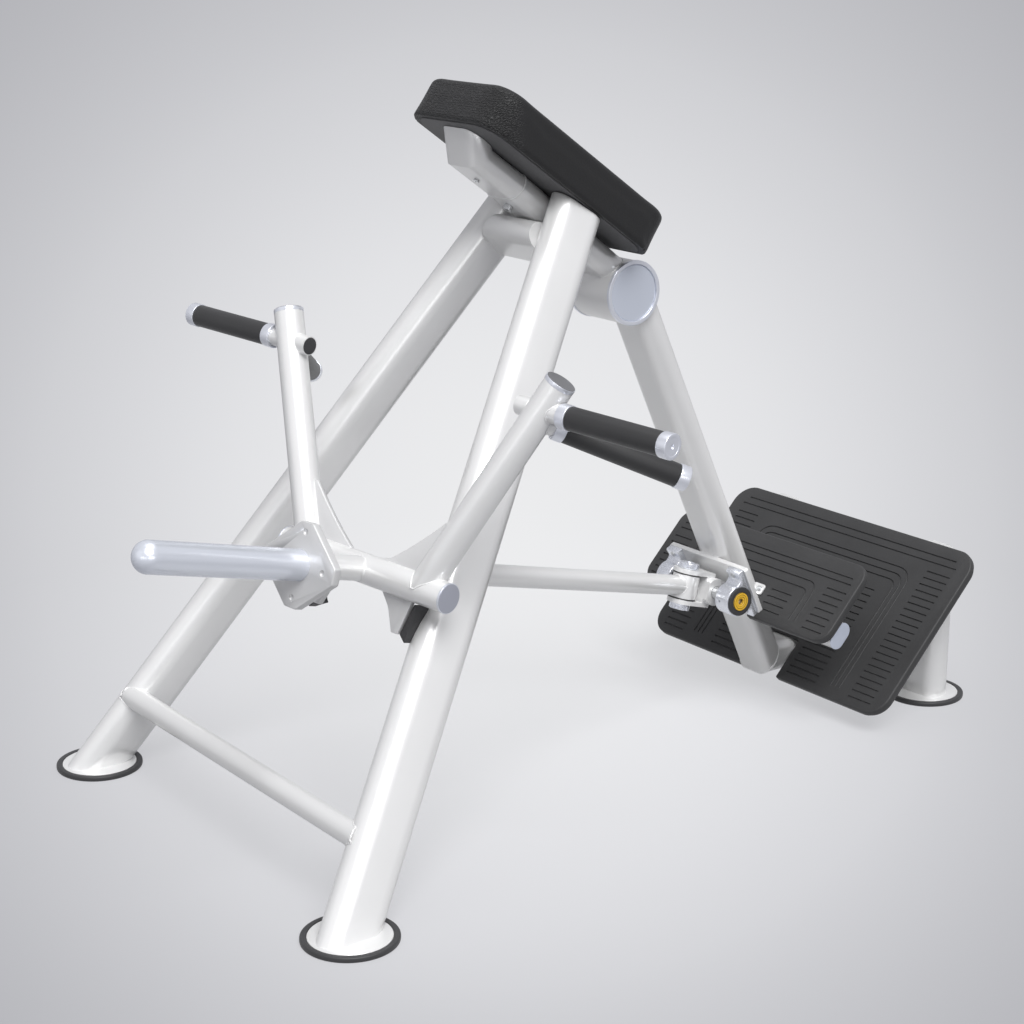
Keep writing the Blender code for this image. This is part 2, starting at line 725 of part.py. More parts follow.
def cushion(width, length, radius, height):
    """Cushion with drawn-in foot, rounded upper edge and a crowned top."""
    profile = [(PAD_TUCK, 0.0), (PAD_TUCK * 0.45, height * 0.12), (PAD_TUCK * 0.1, height * 0.35)]
    side_top = height - PAD_EDGE_ROUND
    profile.append((0.0, side_top * 0.8))
    for i in range(5):
        angle = math.pi / 2 * i / 4
        inset = PAD_EDGE_ROUND * (1 - math.cos(angle))
        profile.append((inset, side_top + PAD_EDGE_ROUND * math.sin(angle)))
    bm = bmesh.new()
    rings = []
    for inset, level in profile:
        outline = rounded_rectangle(width - 2 * inset, length - 2 * inset, radius - inset * 0.5)
        rings.append(add_ring(bm, [(x, y, level) for x, y in outline]))
    edge = rounded_rectangle(
        width - 2 * PAD_EDGE_ROUND, length - 2 * PAD_EDGE_ROUND, radius - PAD_EDGE_ROUND * 0.5
    )
    for i in range(1, 7):
        share = 1 - i / 7
        level = height + PAD_CROWN * (1 - share ** 2)
        rings.append(add_ring(bm, [(x * share, y * share, level) for x, y in edge]))
    for ring_a, ring_b in zip(rings, rings[1:]):
        skin(bm, ring_a, ring_b)
    bm.faces.new(rings[0])
    bm.faces.new(rings[-1])
    return bm


def build_pad(root):
    """Board, chest cushion and the bolts from below."""
    centre = PAD_SEAT
    matrix = frame_matrix(centre, X_AXIS, -PAD_DOWN, PAD_NORMAL)
    inset = PAD_BOARD_INSET + PAD_TUCK
    outline = rounded_rectangle(PAD_WIDTH - 2 * inset, PAD_LENGTH - 2 * inset, PAD_CORNER)
    add_object("pad_board", prism(outline, 0.0, PAD_BOARD), "board_black", root, matrix)
    matrix = frame_matrix(centre + PAD_NORMAL * (PAD_BOARD + GAP), X_AXIS, -PAD_DOWN, PAD_NORMAL)
    add_object(
        "chest_pad", cushion(PAD_WIDTH, PAD_LENGTH, PAD_CORNER, PAD_CUSHION), "pad_leather", root, matrix
    )
    front_seat = PAD_SEAT - PAD_DOWN * PAD_BOLT_STEPS[0] - PAD_NORMAL * (BEAM_DEPTH + 2 * GAP)
    rear_run = BEAM_BEND_AHEAD - PAD_BOLT_STEPS[1]
    rear_seat = beam_bend() + BEAM_DOWN * rear_run - BEAM_NORMAL * (BEAM_DEPTH / 2 + GAP)
    for name, seat, out in (("front", front_seat, -PAD_NORMAL), ("rear", rear_seat, -BEAM_NORMAL)):
        head = prism(circle_points(PAD_BOLT_HEAD, 6), 0.0, PAD_BOLT_HEIGHT)
        add_object("pad_bolt_" + name, head, "zinc", root, aim(seat, out, X_AXIS))


def axle_centre():
    """Middle of the pivot axle, set off the column's front by the bearing plate and the blocks."""
    offset = TUBE_DEPTH / 2 + GAP + BEARING_PLATE_THICKNESS + AXLE_STANDOFF
    foot = column_point(AXLE_Z - COLUMN_FRONT.z * offset)
    return foot + COLUMN_FRONT * offset


def block_outline():
    """Side view of a pillow block: base along X, round housing over the origin."""
    base = -AXLE_STANDOFF + GAP
    half = BEARING_PLATE_HEIGHT / 2
    waist = math.radians(-18)
    points = [(-half, base), (half, base), (half, base + BLOCK_EAR), (BLOCK_EAR_ROOT, base + BLOCK_EAR)]
    points += arc_points((0.0, 0.0), BLOCK_RADIUS, waist, math.pi - waist, 16)
    points += [(-BLOCK_EAR_ROOT, base + BLOCK_EAR), (-half, base + BLOCK_EAR)]
    return points


def build_bearings(root):
    """Bearing plate on the column, with two pillow blocks, their rings, seals, covers and bolts."""
    axle = axle_centre()
    seat = axle - COLUMN_FRONT * AXLE_STANDOFF
    outline = rounded_rectangle(2 * BEARING_PLATE_HALF, BEARING_PLATE_HEIGHT, BEARING_PLATE_CORNER, 3)
    matrix = frame_matrix(seat, X_AXIS, COLUMN_UP, COLUMN_FRONT)
    add_object(
        "bearing_plate", prism(outline, -BEARING_PLATE_THICKNESS, 0.0), "silver_paint", root, matrix
    )
    for name, side in SIDES:
        face = axle + X_AXIS * side * BLOCK_OUTER
        inward = aim(face, X_AXIS * side, COLUMN_UP)
        block = add_object(
            "pillow_block_" + name,
            prism([(x, y * side) for x, y in block_outline()], -BLOCK_WIDTH, 0.0), "cast_alloy", root,
            frame_matrix(face, COLUMN_UP, COLUMN_FRONT * side, X_AXIS * side),
        )
        bore = rod(BLOCK_BORE, 2 * BLOCK_WIDTH)
        cut(block, make_cutter("block_bore_" + name, bore, root, inward))
        add_object("bearing_" + name, turned(bearing_profile()), "black_rubber", root, inward)
        cover = ring_profile(COVER_HOLE, COVER_RADIUS, GAP, SEAL_WIDTH + COVER_PROUD, 0.001)
        add_object("bearing_cover_" + name, turned(cover), "amber_plastic", root, inward)
        for end_name, end in (("upper", 1), ("lower", -1)):
            middle = seat + X_AXIS * side * (BLOCK_OUTER - BLOCK_WIDTH / 2)
            foot = middle + COLUMN_UP * end * BLOCK_BOLT_SPAN + COLUMN_FRONT * (BLOCK_EAR + 2 * GAP)
            head = prism(circle_points(BLOCK_BOLT_HEAD, 6), 0.0, BLOCK_BOLT_HEIGHT)
            place = aim(foot, COLUMN_FRONT, X_AXIS)
            add_object("block_bolt_" + end_name + "_" + name, head, "zinc", root, place)


def bearing_profile():
    """Section of a bearing insert in its block, with the seal round the cover on its outer face."""
    bore, outer = AXLE_RADIUS + GAP, BLOCK_BORE - GAP
    low = -(BLOCK_WIDTH + RING_WIDTH) / 2
    return [
        (bore, low), (outer, low), (outer, GAP), (SEAL_RADIUS, GAP), (SEAL_RADIUS, SEAL_WIDTH - CAP_LIP),
        (SEAL_RADIUS - CAP_LIP, SEAL_WIDTH), (COVER_RADIUS + GAP, SEAL_WIDTH),
        (COVER_RADIUS + GAP, -GAP), (bore, -GAP), (bore, low),
    ]


def yoke_half_height():
    """Half height of the yoke over its two ears."""
    return ear_inner() + YOKE_EAR


def ear_inner():
    """Height of an ear's inner face over the kingpin's middle."""
    return SLEEVE_HEIGHT / 2 + WASHER_THICKNESS + 2 * GAP


def build_yoke(pitch):
    """Axle, yoke, kingpin, nut and washers, all round the axle's middle."""
    across = aim((0.0, 0.0, 0.0), X_AXIS, Z_AXIS)
    axle_half = BLOCK_OUTER - 2 * GAP
    add_object("pivot_axle", rod(AXLE_RADIUS, axle_half, SMALL_SIDES), "zinc", pitch, across)

    half = YOKE_WIDTH / 2
    height = yoke_half_height()
    plan = arc_points((0.0, -YOKE_REACH), half, math.pi, math.tau, 12) + [(half, 0.0), (-half, 0.0)]
    yoke = add_object("yoke", prism(plan, -height, height), "silver_paint", pitch)
    barrel_half = BLOCK_OUTER - BLOCK_WIDTH - YOKE_BARREL_CLEAR
    barrel = rod(YOKE_BARREL_RADIUS, barrel_half)
    weld(yoke, make_cutter("yoke_barrel", barrel, pitch, across))
    web = YOKE_REACH - SLEEVE_RADIUS - YOKE_WEB_CLEAR
    wide, deep = YOKE_WIDTH, 2 * YOKE_REACH
    mouth = [(-wide, -deep), (wide, -deep), (wide, -web), (-wide, -web)]
    pin_hole = prism(circle_points(KINGPIN_RADIUS + GAP, SMALL_SIDES), -2 * height, 2 * height)
    axle_hole = prism(circle_points(AXLE_RADIUS + GAP, SMALL_SIDES), -2 * BLOCK_OUTER, 2 * BLOCK_OUTER)
    cut(
        yoke,
        make_cutter("yoke_mouth", prism(mouth, -ear_inner(), ear_inner()), pitch),
        make_cutter("kingpin_hole", pin_hole, pitch, Matrix.Translation((0.0, -YOKE_REACH, 0.0))),
        make_cutter("axle_hole", axle_hole, pitch, across),
    )

    pin_place = Matrix.Translation((0.0, -YOKE_REACH, 0.0))
    top = height + GAP
    pin = [
        (0.0, -top - KINGPIN_HEAD), (KINGPIN_RADIUS, -top - KINGPIN_HEAD), (KINGPIN_RADIUS, top),
        (KINGPIN_HEAD_RADIUS, top), (KINGPIN_HEAD_RADIUS, top + KINGPIN_HEAD - CAP_LIP),
        (KINGPIN_HEAD_RADIUS - CAP_LIP, top + KINGPIN_HEAD), (0.0, top + KINGPIN_HEAD),
    ]
    add_object("kingpin", turned(pin, SMALL_SIDES), "satin_alloy", pitch, pin_place)
    nut = ring_profile(KINGPIN_RADIUS + GAP, KINGPIN_HEAD_RADIUS, -top - KINGPIN_HEAD, -top, CAP_LIP)
    add_object("kingpin_nut", turned(nut, SMALL_SIDES), "satin_alloy", pitch, pin_place)
    low = SLEEVE_HEIGHT / 2 + GAP
    ring = ring_profile(KINGPIN_RADIUS + GAP, WASHER_RADIUS, low, low + WASHER_THICKNESS)
    upside_down = pin_place @ Matrix.Rotation(math.pi, 4, "X")
    for name, place in (("upper", pin_place), ("lower", upside_down)):
        add_object("thrust_washer_" + name, turned(ring), "black_rubber", pitch, place)


def arm_axis(side):
    """Foot and top of an arm's axis."""
    foot = Vector((side * ARM_FOOT, -BOOM_LENGTH, 0.0))
    top = Vector((side * (ARM_FOOT + ARM_SPREAD), -BOOM_LENGTH + ARM_BACK, ARM_RISE))
    return foot, top


def arm_point(side, rise):
    """Point of an arm's axis at a height over the cross tube."""
    foot, top = arm_axis(side)
    return foot.lerp(top, rise / ARM_RISE)


def build_boom(swing):
    """Boom tube with its sleeve and bush. Returns a cutter of the cross tube."""
    bush_outer = KINGPIN_RADIUS + BUSH_WALL
    half = SLEEVE_HEIGHT / 2
    bush = ring_profile(KINGPIN_RADIUS + GAP, bush_outer, -half, half)
    add_object("sleeve_bush", turned(bush, SMALL_SIDES), "bronze", swing)

    middle = Vector((0.0, -BOOM_LENGTH, 0.0))
    half_cross = X_AXIS * CROSS_HALF
    cross_cutter = make_cutter(
        "cross_tube", tube((middle - half_cross, middle + half_cross), Z_AXIS, round_section(CROSS_RADIUS),
                           grow=GAP), swing
    )
    path = (Vector((0.0, -SLEEVE_RADIUS + WELD, 0.0)), middle)
    boom = add_object(
        "boom_tube", tube(path, Z_AXIS, round_section(BOOM_RADIUS), ROUND_WALL), "silver_paint", swing
    )
    sleeve = make_cutter("sleeve", prism(circle_points(SLEEVE_RADIUS, ROUND_SIDES), -half, half), swing)
    weld(boom, sleeve)
    bore = prism(circle_points(bush_outer + GAP, SMALL_SIDES), -SLEEVE_HEIGHT, SLEEVE_HEIGHT)
    cut(boom, make_cutter("sleeve_bore", bore, swing), cross_cutter)
    return cross_cutter


def build_arms(swing, cross_cutter):
    """Slanted arms with their top plates and handles. Returns cutters of the arms."""
    cutters = []
    for name, side in SIDES:
        foot, top = arm_axis(side)
        section = round_section(ARM_RADIUS)
        arm_tube = tube((foot, top), X_AXIS, section, ROUND_WALL, end_plate=CAP_THICKNESS)
        arm = add_object("arm_" + name, arm_tube, "silver_paint", swing)
        cut(arm, cross_cutter)
        arm_cutter = make_cutter("arm_" + name, tube((foot, top), X_AXIS, section, grow=GAP), swing)
        cutters.append(arm_cutter)
        build_handles(swing, name, side, arm, arm_cutter)
    return cutters


def handle_profile(grip_start, grip_length):
    """Section of a hollow bar with a collar on each side of its grip. The outer collar closes the end."""
    inner = grip_start - COLLAR_LENGTH
    grip_end = grip_start + grip_length
    end = grip_end + COLLAR_LENGTH
    bore, lip = BAR_RADIUS - ROUND_WALL, COLLAR_LIP
    return [
        (bore, 0.0), (BAR_RADIUS, 0.0), (BAR_RADIUS, inner), (COLLAR_RADIUS - lip, inner),
        (COLLAR_RADIUS, inner + lip), (COLLAR_RADIUS, grip_start), (BAR_RADIUS, grip_start),
        (BAR_RADIUS, grip_end), (COLLAR_RADIUS, grip_end), (COLLAR_RADIUS, end - lip),
        (COLLAR_RADIUS - lip, end), (COLLAR_DIMPLE, end), (COLLAR_DIMPLE, end - COLLAR_DIMPLE),
        (0.0, end - COLLAR_DIMPLE), (0.0, end - COLLAR_END_WALL), (bore, end - COLLAR_END_WALL),
        (bore, 0.0),
    ]


def build_handles(swing, name, side, arm, arm_cutter):
    """Wide and angled handle of one arm, each a bar with its collars and a rubber grip."""
    wide_origin = Vector((side * WIDE_INNER, arm_point(side, WIDE_RISE).y, WIDE_RISE))
    sweep = Vector((
        side * math.cos(ANGLED_DROP) * math.cos(ANGLED_SWEEP),
        math.cos(ANGLED_DROP) * math.sin(ANGLED_SWEEP),
        -math.sin(ANGLED_DROP),
    ))
    for kind, origin, run, grip_start, length in (
        ("wide", wide_origin, X_AXIS * side, WIDE_GRIP_START - WIDE_INNER, WIDE_GRIP_LENGTH),
        ("angled", arm_point(side, ANGLED_RISE), sweep, ANGLED_GRIP_START, ANGLED_GRIP_LENGTH),
    ):
        place = aim(origin, run, Z_AXIS)
        profile = handle_profile(grip_start, length)
        bar = add_object(
            kind + "_bar_" + name, turned(profile, HANDLE_SIDES), "satin_alloy", swing, place
        )
        if kind == "wide":
            clear = [(0.0, -GAP), (BAR_RADIUS + GAP, -GAP), (BAR_RADIUS + GAP, length), (0.0, length)]
            wide_cutter = make_cutter("wide_bar_" + name, turned(clear, HANDLE_SIDES), swing, place)
            cut(arm, wide_cutter)
        else:
            cut(bar, arm_cutter, wide_cutter)
        grip = ring_profile(
            BAR_RADIUS + GAP, GRIP_RADIUS, grip_start + GAP, grip_start + length - GAP, COLLAR_LIP
        )
        add_object(kind + "_grip_" + name, turned(grip, HANDLE_SIDES), "black_rubber", swing, place)


def build_cross_tube(swing, arm_cutters):
    """Cross tube with its end plates, the gussets up to the arms, the stop wings and their rubbers."""
    wall, plate = CROSS_RADIUS - ROUND_WALL, CROSS_HALF - CAP_THICKNESS
    profile = [(0.0, plate), (0.0, CROSS_HALF), (CROSS_RADIUS - COLLAR_LIP, CROSS_HALF)]
    profile += [(CROSS_RADIUS, CROSS_HALF - COLLAR_LIP), (CROSS_RADIUS, -CROSS_HALF + COLLAR_LIP)]
    profile += [(CROSS_RADIUS - COLLAR_LIP, -CROSS_HALF), (0.0, -CROSS_HALF), (0.0, -plate)]
    profile += [(wall, -plate), (wall, plate), (0.0, plate)]
    middle = Vector((0.0, -BOOM_LENGTH, 0.0))
    cross = add_object("cross_tube", turned(profile), "silver_paint", swing, aim(middle, X_AXIS, Z_AXIS))
    vent = prism(circle_points(VENT_RADIUS, 12), 0.0, 2 * CROSS_RADIUS)
    cut(cross, make_cutter("vent", vent, swing, aim(middle, Y_AXIS, X_AXIS)))

    centre_k = CROSS_RADIUS + GUSSET_ARC_RADIUS
    top_turn = math.acos((centre_k - GUSSET_TOP) / GUSSET_ARC_RADIUS)
    root_k = CROSS_RADIUS - ROUND_WALL / 2 - WELD / 2
    arc = arc_points(
        (0.0, centre_k), GUSSET_ARC_RADIUS, -math.pi / 2 + top_turn, -math.pi / 2 + GUSSET_ARC_START, 12
    )
    gusset = [(arc[-1][0], root_k), (ARM_FOOT, root_k), (arm_point(1, GUSSET_TOP).x, GUSSET_TOP)] + arc
    hollow = ((WING_ROOT_IN + WING_TIP_IN) / 2 + WING_HOLLOW, -WING_DROP * 0.55)
    wing = [
        (WING_ROOT_IN, -root_k), hollow, (WING_TIP_IN, -WING_DROP), (WING_TIP_OUT, -WING_DROP),
        (WING_ROOT_OUT, -root_k),
    ]
    lean = (WING_ROOT_OUT - WING_TIP_OUT) / (WING_DROP - root_k)
    foot_x = WING_TIP_OUT + GAP
    head_x = foot_x + lean * (WING_DROP - STOP_TOP)
    stop = [
        (foot_x, -WING_DROP), (foot_x + STOP_WIDTH, -WING_DROP - STOP_SLANT),
        (head_x + STOP_WIDTH, -STOP_TOP), (head_x, -STOP_TOP),
    ]
    place = frame_matrix(Vector((0.0, -GUSSET_AHEAD, 0.0)), X_AXIS, Z_AXIS, -Y_AXIS)
    parked = swing_matrix().inverted()
    for (name, side), arm_cutter in zip(SIDES, arm_cutters):
        outline = [(side * x, k) for x, k in gusset]
        plate = make_cutter(
            "gusset_" + name, prism(outline, -GUSSET_THICKNESS / 2, GUSSET_THICKNESS / 2), swing, place
        )
        cut(plate, arm_cutter)
        outline = [(side * x, k) for x, k in wing]
        tail = make_cutter(
            "wing_" + name, prism(outline, -WING_THICKNESS / 2, WING_THICKNESS / 2), swing, place
        )
        weld(cross, plate, tail)
        outline = [(side * x, k) for x, k in stop]
        rubber = add_object(
            "stop_rubber_" + name, prism(outline, WING_THICKNESS / 2 - STOP_BACK, STOP_FRONT),
            "black_rubber", swing, place,
        )
        turned_park = parked if side > 0 else Matrix.Rotation(2 * BOOM_PARK, 4, "Z") @ parked
        cut(rubber, make_cutter("park_" + name, leg_tube(side, 0.0, GAP), swing, turned_park))


def swing_matrix():
    """Place of the parked boom, before the origin is moved."""
    pitch = Matrix.Translation(axle_centre()) @ Matrix.Rotation(-BOOM_RISE, 4, "X")
    return pitch @ Matrix.Translation((0.0, -YOKE_REACH, 0.0)) @ Matrix.Rotation(BOOM_PARK, 4, "Z")


def build_horn(swing, cross_cutter):
    """Diamond flange on its short nose tube, and the plate horn with its domed tip."""
    reach, blunt = FLANGE_REACH, FLANGE_BLUNT
    outline = [
        (blunt, -reach), (reach, -blunt), (reach, blunt), (blunt, reach),
        (-blunt, reach), (-reach, blunt), (-reach, -blunt), (-blunt, -reach),
    ]
    place = frame_matrix(Vector((0.0, -FLANGE_BACK, 0.0)), X_AXIS, Z_AXIS, -Y_AXIS)
    flange = add_object("horn_flange", prism(outline, 0.0, FLANGE_THICKNESS), "silver_paint", swing, place)
    bevel(flange, FLANGE_BEVEL)
    for i, (x, k) in enumerate(circle_points(FLANGE_HOLE_REACH, 4)):
        hole = prism(circle_points(FLANGE_HOLE, 16), -FLANGE_THICKNESS, 2 * FLANGE_THICKNESS)
        cut(flange, make_cutter(f"flange_hole_{i}", hole, swing, place @ Matrix.Translation((x, k, 0.0))))
    nose_ends = (Vector((0.0, -BOOM_LENGTH, 0.0)), Vector((0.0, -FLANGE_BACK - WELD, 0.0)))
    nose = make_cutter("nose", tube(nose_ends, Z_AXIS, round_section(NOSE_RADIUS), ROUND_WALL), swing)
    cut(nose, cross_cutter)
    weld(flange, nose)
    dome_base = HORN_LENGTH - HORN_DOME
    angles = [math.pi / 2 * i / 6 for i in range(6)]
    dome = [(HORN_RADIUS * math.cos(a), dome_base + HORN_DOME * math.sin(a)) for a in angles]
    profile = [(0.0, 0.0), (HORN_RADIUS, 0.0)] + dome + [(0.0, HORN_LENGTH)]
    start = Vector((0.0, -FLANGE_BACK - FLANGE_THICKNESS - GAP, 0.0))
    add_object("weight_horn", turned(profile), "satin_alloy", swing, aim(start, -Y_AXIS, X_AXIS))


def main():
    """Build the machine."""
    clear_scene()
    root = make_empty("machine", (-ORIGIN_X, -ORIGIN_Y, 0.0))
    leg_cutters = build_legs(root)
    hub_cutter = build_hub(root)
    build_beam(root, leg_cutters, hub_cutter)
    column, column_cutter = build_column(root, hub_cutter)
    build_platform(root, column, column_cutter)
    build_pad(root)
    build_bearings(root)
    pitch = make_empty("boom_pitch", axle_centre(), (-BOOM_RISE, 0.0, 0.0), root)
    swing = make_empty("boom_swing", (0.0, -YOKE_REACH, 0.0), (0.0, 0.0, BOOM_PARK), pitch)
    build_yoke(pitch)
    cross_cutter = build_boom(swing)
    arm_cutters = build_arms(swing, cross_cutter)
    build_cross_tube(swing, arm_cutters)
    build_horn(swing, cross_cutter)


main()
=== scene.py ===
import logging
import math
from collections.abc import Callable, Sequence
from dataclasses import dataclass
from enum import Enum
from functools import cached_property

import bmesh
import bpy
from mathutils import Matrix, Vector


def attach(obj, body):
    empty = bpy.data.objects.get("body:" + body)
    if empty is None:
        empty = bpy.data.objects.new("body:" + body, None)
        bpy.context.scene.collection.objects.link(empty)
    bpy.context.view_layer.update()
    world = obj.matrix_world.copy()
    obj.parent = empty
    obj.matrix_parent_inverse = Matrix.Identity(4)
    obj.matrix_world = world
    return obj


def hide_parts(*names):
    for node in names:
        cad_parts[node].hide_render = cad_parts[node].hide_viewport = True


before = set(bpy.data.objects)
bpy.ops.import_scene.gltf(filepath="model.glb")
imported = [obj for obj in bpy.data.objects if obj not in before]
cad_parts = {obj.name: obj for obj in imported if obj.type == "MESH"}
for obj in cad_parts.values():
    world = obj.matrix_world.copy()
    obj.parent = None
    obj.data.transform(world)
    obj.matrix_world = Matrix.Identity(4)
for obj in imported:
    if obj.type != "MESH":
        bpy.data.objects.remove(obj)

LOG = logging.getLogger("row_machine")
Point2 = tuple[float, float]
Plane = tuple[Vector, Vector]
X = Vector((1.0, 0.0, 0.0))
Y = Vector((0.0, 1.0, 0.0))
Z = Vector((0.0, 0.0, 1.0))
SIDES = (("right", 1), ("left", -1))


class Body(Enum):
    """The three rigid bodies that pieces ride on."""

    FRAME = "frame"
    YOKE = "yoke"
    BOOM = "boom"


@dataclass(frozen=True)
class Layout:
    """Sizes and slopes that several sub-assemblies share."""

    origin: Vector = Vector((0.1016, 0.6654, 0.0))
    gap: float = 0.0003
    tube_width: float = 0.100
    tube_depth: float = 0.060
    beam_depth: float = 0.050
    disc_top: float = 0.0088
    pad_angle: float = math.radians(35.2)
    pad_seat: Vector = Vector((0.0, 0.6705, 1.0802))
    beam_angle: float = math.radians(39.0)
    column_lean: float = math.radians(24.65)
    hub: Vector = Vector((0.0, 0.8700, 0.8730))
    rail_z: float = 0.0640
    column_behind_hub: float = 0.0290
    platform_angle: float = math.radians(46.26)
    platform_top: Vector = Vector((0.0, 1.5278, 0.3212))
    bearing_plate: float = 0.0100
    axle_z: float = 0.2495
    axle_standoff: float = 0.0324
    boom_rise: float = math.radians(15.83)
    boom_park: float = math.radians(11.84)
    yoke_reach: float = 0.0500
    boom_length: float = 0.9130

    @cached_property
    def pad_down(self) -> Vector:
        """Direction down the pad's slope, to the rear."""
        return Vector((0.0, math.cos(self.pad_angle), -math.sin(self.pad_angle)))

    @cached_property
    def pad_normal(self) -> Vector:
        """Direction square to the pad, upwards."""
        return Vector((0.0, math.sin(self.pad_angle), math.cos(self.pad_angle)))

    @cached_property
    def beam_down(self) -> Vector:
        """Direction of the beam's rear run."""
        return Vector((0.0, math.cos(self.beam_angle), -math.sin(self.beam_angle)))

    @cached_property
    def beam_normal(self) -> Vector:
        """Direction square to the beam's rear run, upwards."""
        return Vector((0.0, math.sin(self.beam_angle), math.cos(self.beam_angle)))

    @cached_property
    def column_up(self) -> Vector:
        """Direction up the rear column."""
        return Vector((0.0, -math.sin(self.column_lean), math.cos(self.column_lean)))

    @cached_property
    def column_front(self) -> Vector:
        """Direction out of the column's front face."""
        return Vector((0.0, -math.cos(self.column_lean), -math.sin(self.column_lean)))

    @cached_property
    def slope_down(self) -> Vector:
        """Direction down the foot plates."""
        return Vector((0.0, -math.cos(self.platform_angle), -math.sin(self.platform_angle)))

    @cached_property
    def slope_normal(self) -> Vector:
        """Direction out of the foot plates, upwards."""
        return Vector((0.0, -math.sin(self.platform_angle), math.cos(self.platform_angle)))

    def column_point(self, height: float) -> Vector:
        """Point of the column's axis at a height.

        Args:
            height: Height over the floor.

        Returns:
            The point.
        """
        behind = self.hub - self.column_front * self.column_behind_hub
        return behind + self.column_up * ((height - behind.z) / self.column_up.z)

    def slope_point(self, down: float, rise: float) -> Vector:
        """Point in the middle plane, measured on the large foot plate.

        Args:
            down: Distance down from the plate's top edge.
            rise: Distance out of its upper face.

        Returns:
            The point.
        """
        return self.platform_top + self.slope_down * down + self.slope_normal * rise

    @cached_property
    def axle(self) -> Vector:
        """Middle of the pivot axle."""
        offset = self.tube_depth / 2 + self.gap + self.bearing_plate + self.axle_standoff
        return self.column_point(self.axle_z - self.column_front.z * offset) + self.column_front * offset

    @cached_property
    def row(self) -> Matrix:
        """Carries the fixed frame's shapes to the frame's origin."""
        return Matrix.Translation(-self.origin)

    @cached_property
    def pitch(self) -> Matrix:
        """Carries the yoke's shapes, drawn round the axle, to their place."""
        return self.row @ Matrix.Translation(self.axle) @ Matrix.Rotation(-self.boom_rise, 4, "X")

    @cached_property
    def swing(self) -> Matrix:
        """Carries the boom's shapes, drawn round the kingpin, to their place."""
        reach = Matrix.Translation((0.0, -self.yoke_reach, 0.0))
        return self.pitch @ reach @ Matrix.Rotation(self.boom_park, 4, "Z")


PLAN = Layout()


def axes(origin: Vector, x: Vector, y: Vector, z: Vector) -> Matrix:
    """Matrix that carries local axes to given directions.

    Args:
        origin: Where the local origin goes.
        x: Direction of local X.
        y: Direction of local Y.
        z: Direction of local Z.

    Returns:
        The matrix.
    """
    matrix = Matrix((x, y, z)).transposed().to_4x4()
    matrix.translation = origin
    return matrix


def aim(origin: Vector, direction: Vector, side: Vector) -> Matrix:
    """Matrix whose Z runs along a direction and whose X leans towards a side.

    Args:
        origin: Where the local origin goes.
        direction: Direction of local Z.
        side: Direction that local X leans to.

    Returns:
        The matrix.
    """
    z = direction.normalized()
    x = (side - z * z.dot(side)).normalized()
    return axes(origin, x, z.cross(x), z)


def circle(radius: float, sides: int, turn: float = 0.0) -> list[Point2]:
    """Points of a circle.

    Args:
        radius: Radius of the circle.
        sides: Number of points.
        turn: Angle of the first point.

    Returns:
        The points.
    """
    angles = [turn + math.tau * i / sides for i in range(sides)]
    return [(radius * math.cos(a), radius * math.sin(a)) for a in angles]


def arc(centre: Point2, radius: float, start: float, end: float, steps: int) -> list[Point2]:
    """Points along an arc, ends included.

    Args:
        centre: Centre of the arc.
        radius: Its radius.
        start: First angle.
        end: Last angle.
        steps: Number of chords.

    Returns:
        The points.
    """
    angles = [start + (end - start) * i / steps for i in range(steps + 1)]
    return [(centre[0] + radius * math.cos(a), centre[1] + radius * math.sin(a)) for a in angles]


def stadium(width: float, depth: float, steps: int = 16) -> list[Point2]:
    """Outline of a flat-oval tube, or of a round one where width and depth are the same.

    Args:
        width: Outer width, along the first axis.
        depth: Outer depth.
        steps: Chords in each rounded side.

    Returns:
        The points.
    """
    radius, half = depth / 2, (width - depth) / 2
    if half < 1e-6:
        return circle(radius, 2 * steps)
    right = arc((half, 0.0), radius, -math.pi / 2, math.pi / 2, steps)
    return right + arc((-half, 0.0), radius, math.pi / 2, 1.5 * math.pi, steps)


def rounded_rectangle(width: float, length: float, radius: float, steps: int = 8) -> list[Point2]:
    """Outline of a rectangle round its own centre, with rounded corners.

    Args:
        width: Size along the first axis.
        length: Size along the second axis.
        radius: Radius of the corners.
        steps: Chords in each corner.

    Returns:
        The points.
    """
    x, y = width / 2 - radius, length / 2 - radius
    points = []
    for i, centre in enumerate(((x, y), (-x, y), (-x, -y), (x, -y))):
        points += arc(centre, radius, math.pi / 2 * i, math.pi / 2 * (i + 1), steps)
    return points


def filleted(points: Sequence[Point2], radius: float, closed: bool = True, steps: int = 4) -> list[Point2]:
    """Outline with its corners rounded.

    Args:
        points: Corners of the outline.
        radius: Largest radius of a rounded corner.
        closed: Whether the last point joins the first.
        steps: Chords in each rounded corner.

    Returns:
        The rounded outline.
    """
    corners = [Vector(p) for p in points]
    result: list[Point2] = []
    for i, corner in enumerate(corners):
        if not closed and i in (0, len(corners) - 1):
            result.append(tuple(corner))
            continue
        before, after = corners[i - 1] - corner, corners[(i + 1) % len(corners)] - corner
        turn = math.pi - before.angle(after)
        if turn < 0.02:
            result.append(tuple(corner))
            continue
        reach = min(radius * math.tan(turn / 2), 0.45 * before.length, 0.45 * after.length)
        start, end = corner + before.normalized() * reach, corner + after.normalized() * reach
        for k in range(steps + 1):
            t = k / steps
            blend = start * (1 - t) ** 2 + corner * (2 * t * (1 - t)) + end * t ** 2
            result.append(tuple(blend))
    return result


def slid(point: Vector, direction: Vector, plane: Plane) -> Vector:
    """Point moved along a direction until it lies on a plane.

    Args:
        point: The point.
        direction: The way it moves.
        plane: A point of the plane, and its normal.

    Returns:
        The moved point.
    """
    origin, normal = plane
    return point + direction * ((origin - point).dot(normal) / direction.dot(normal))


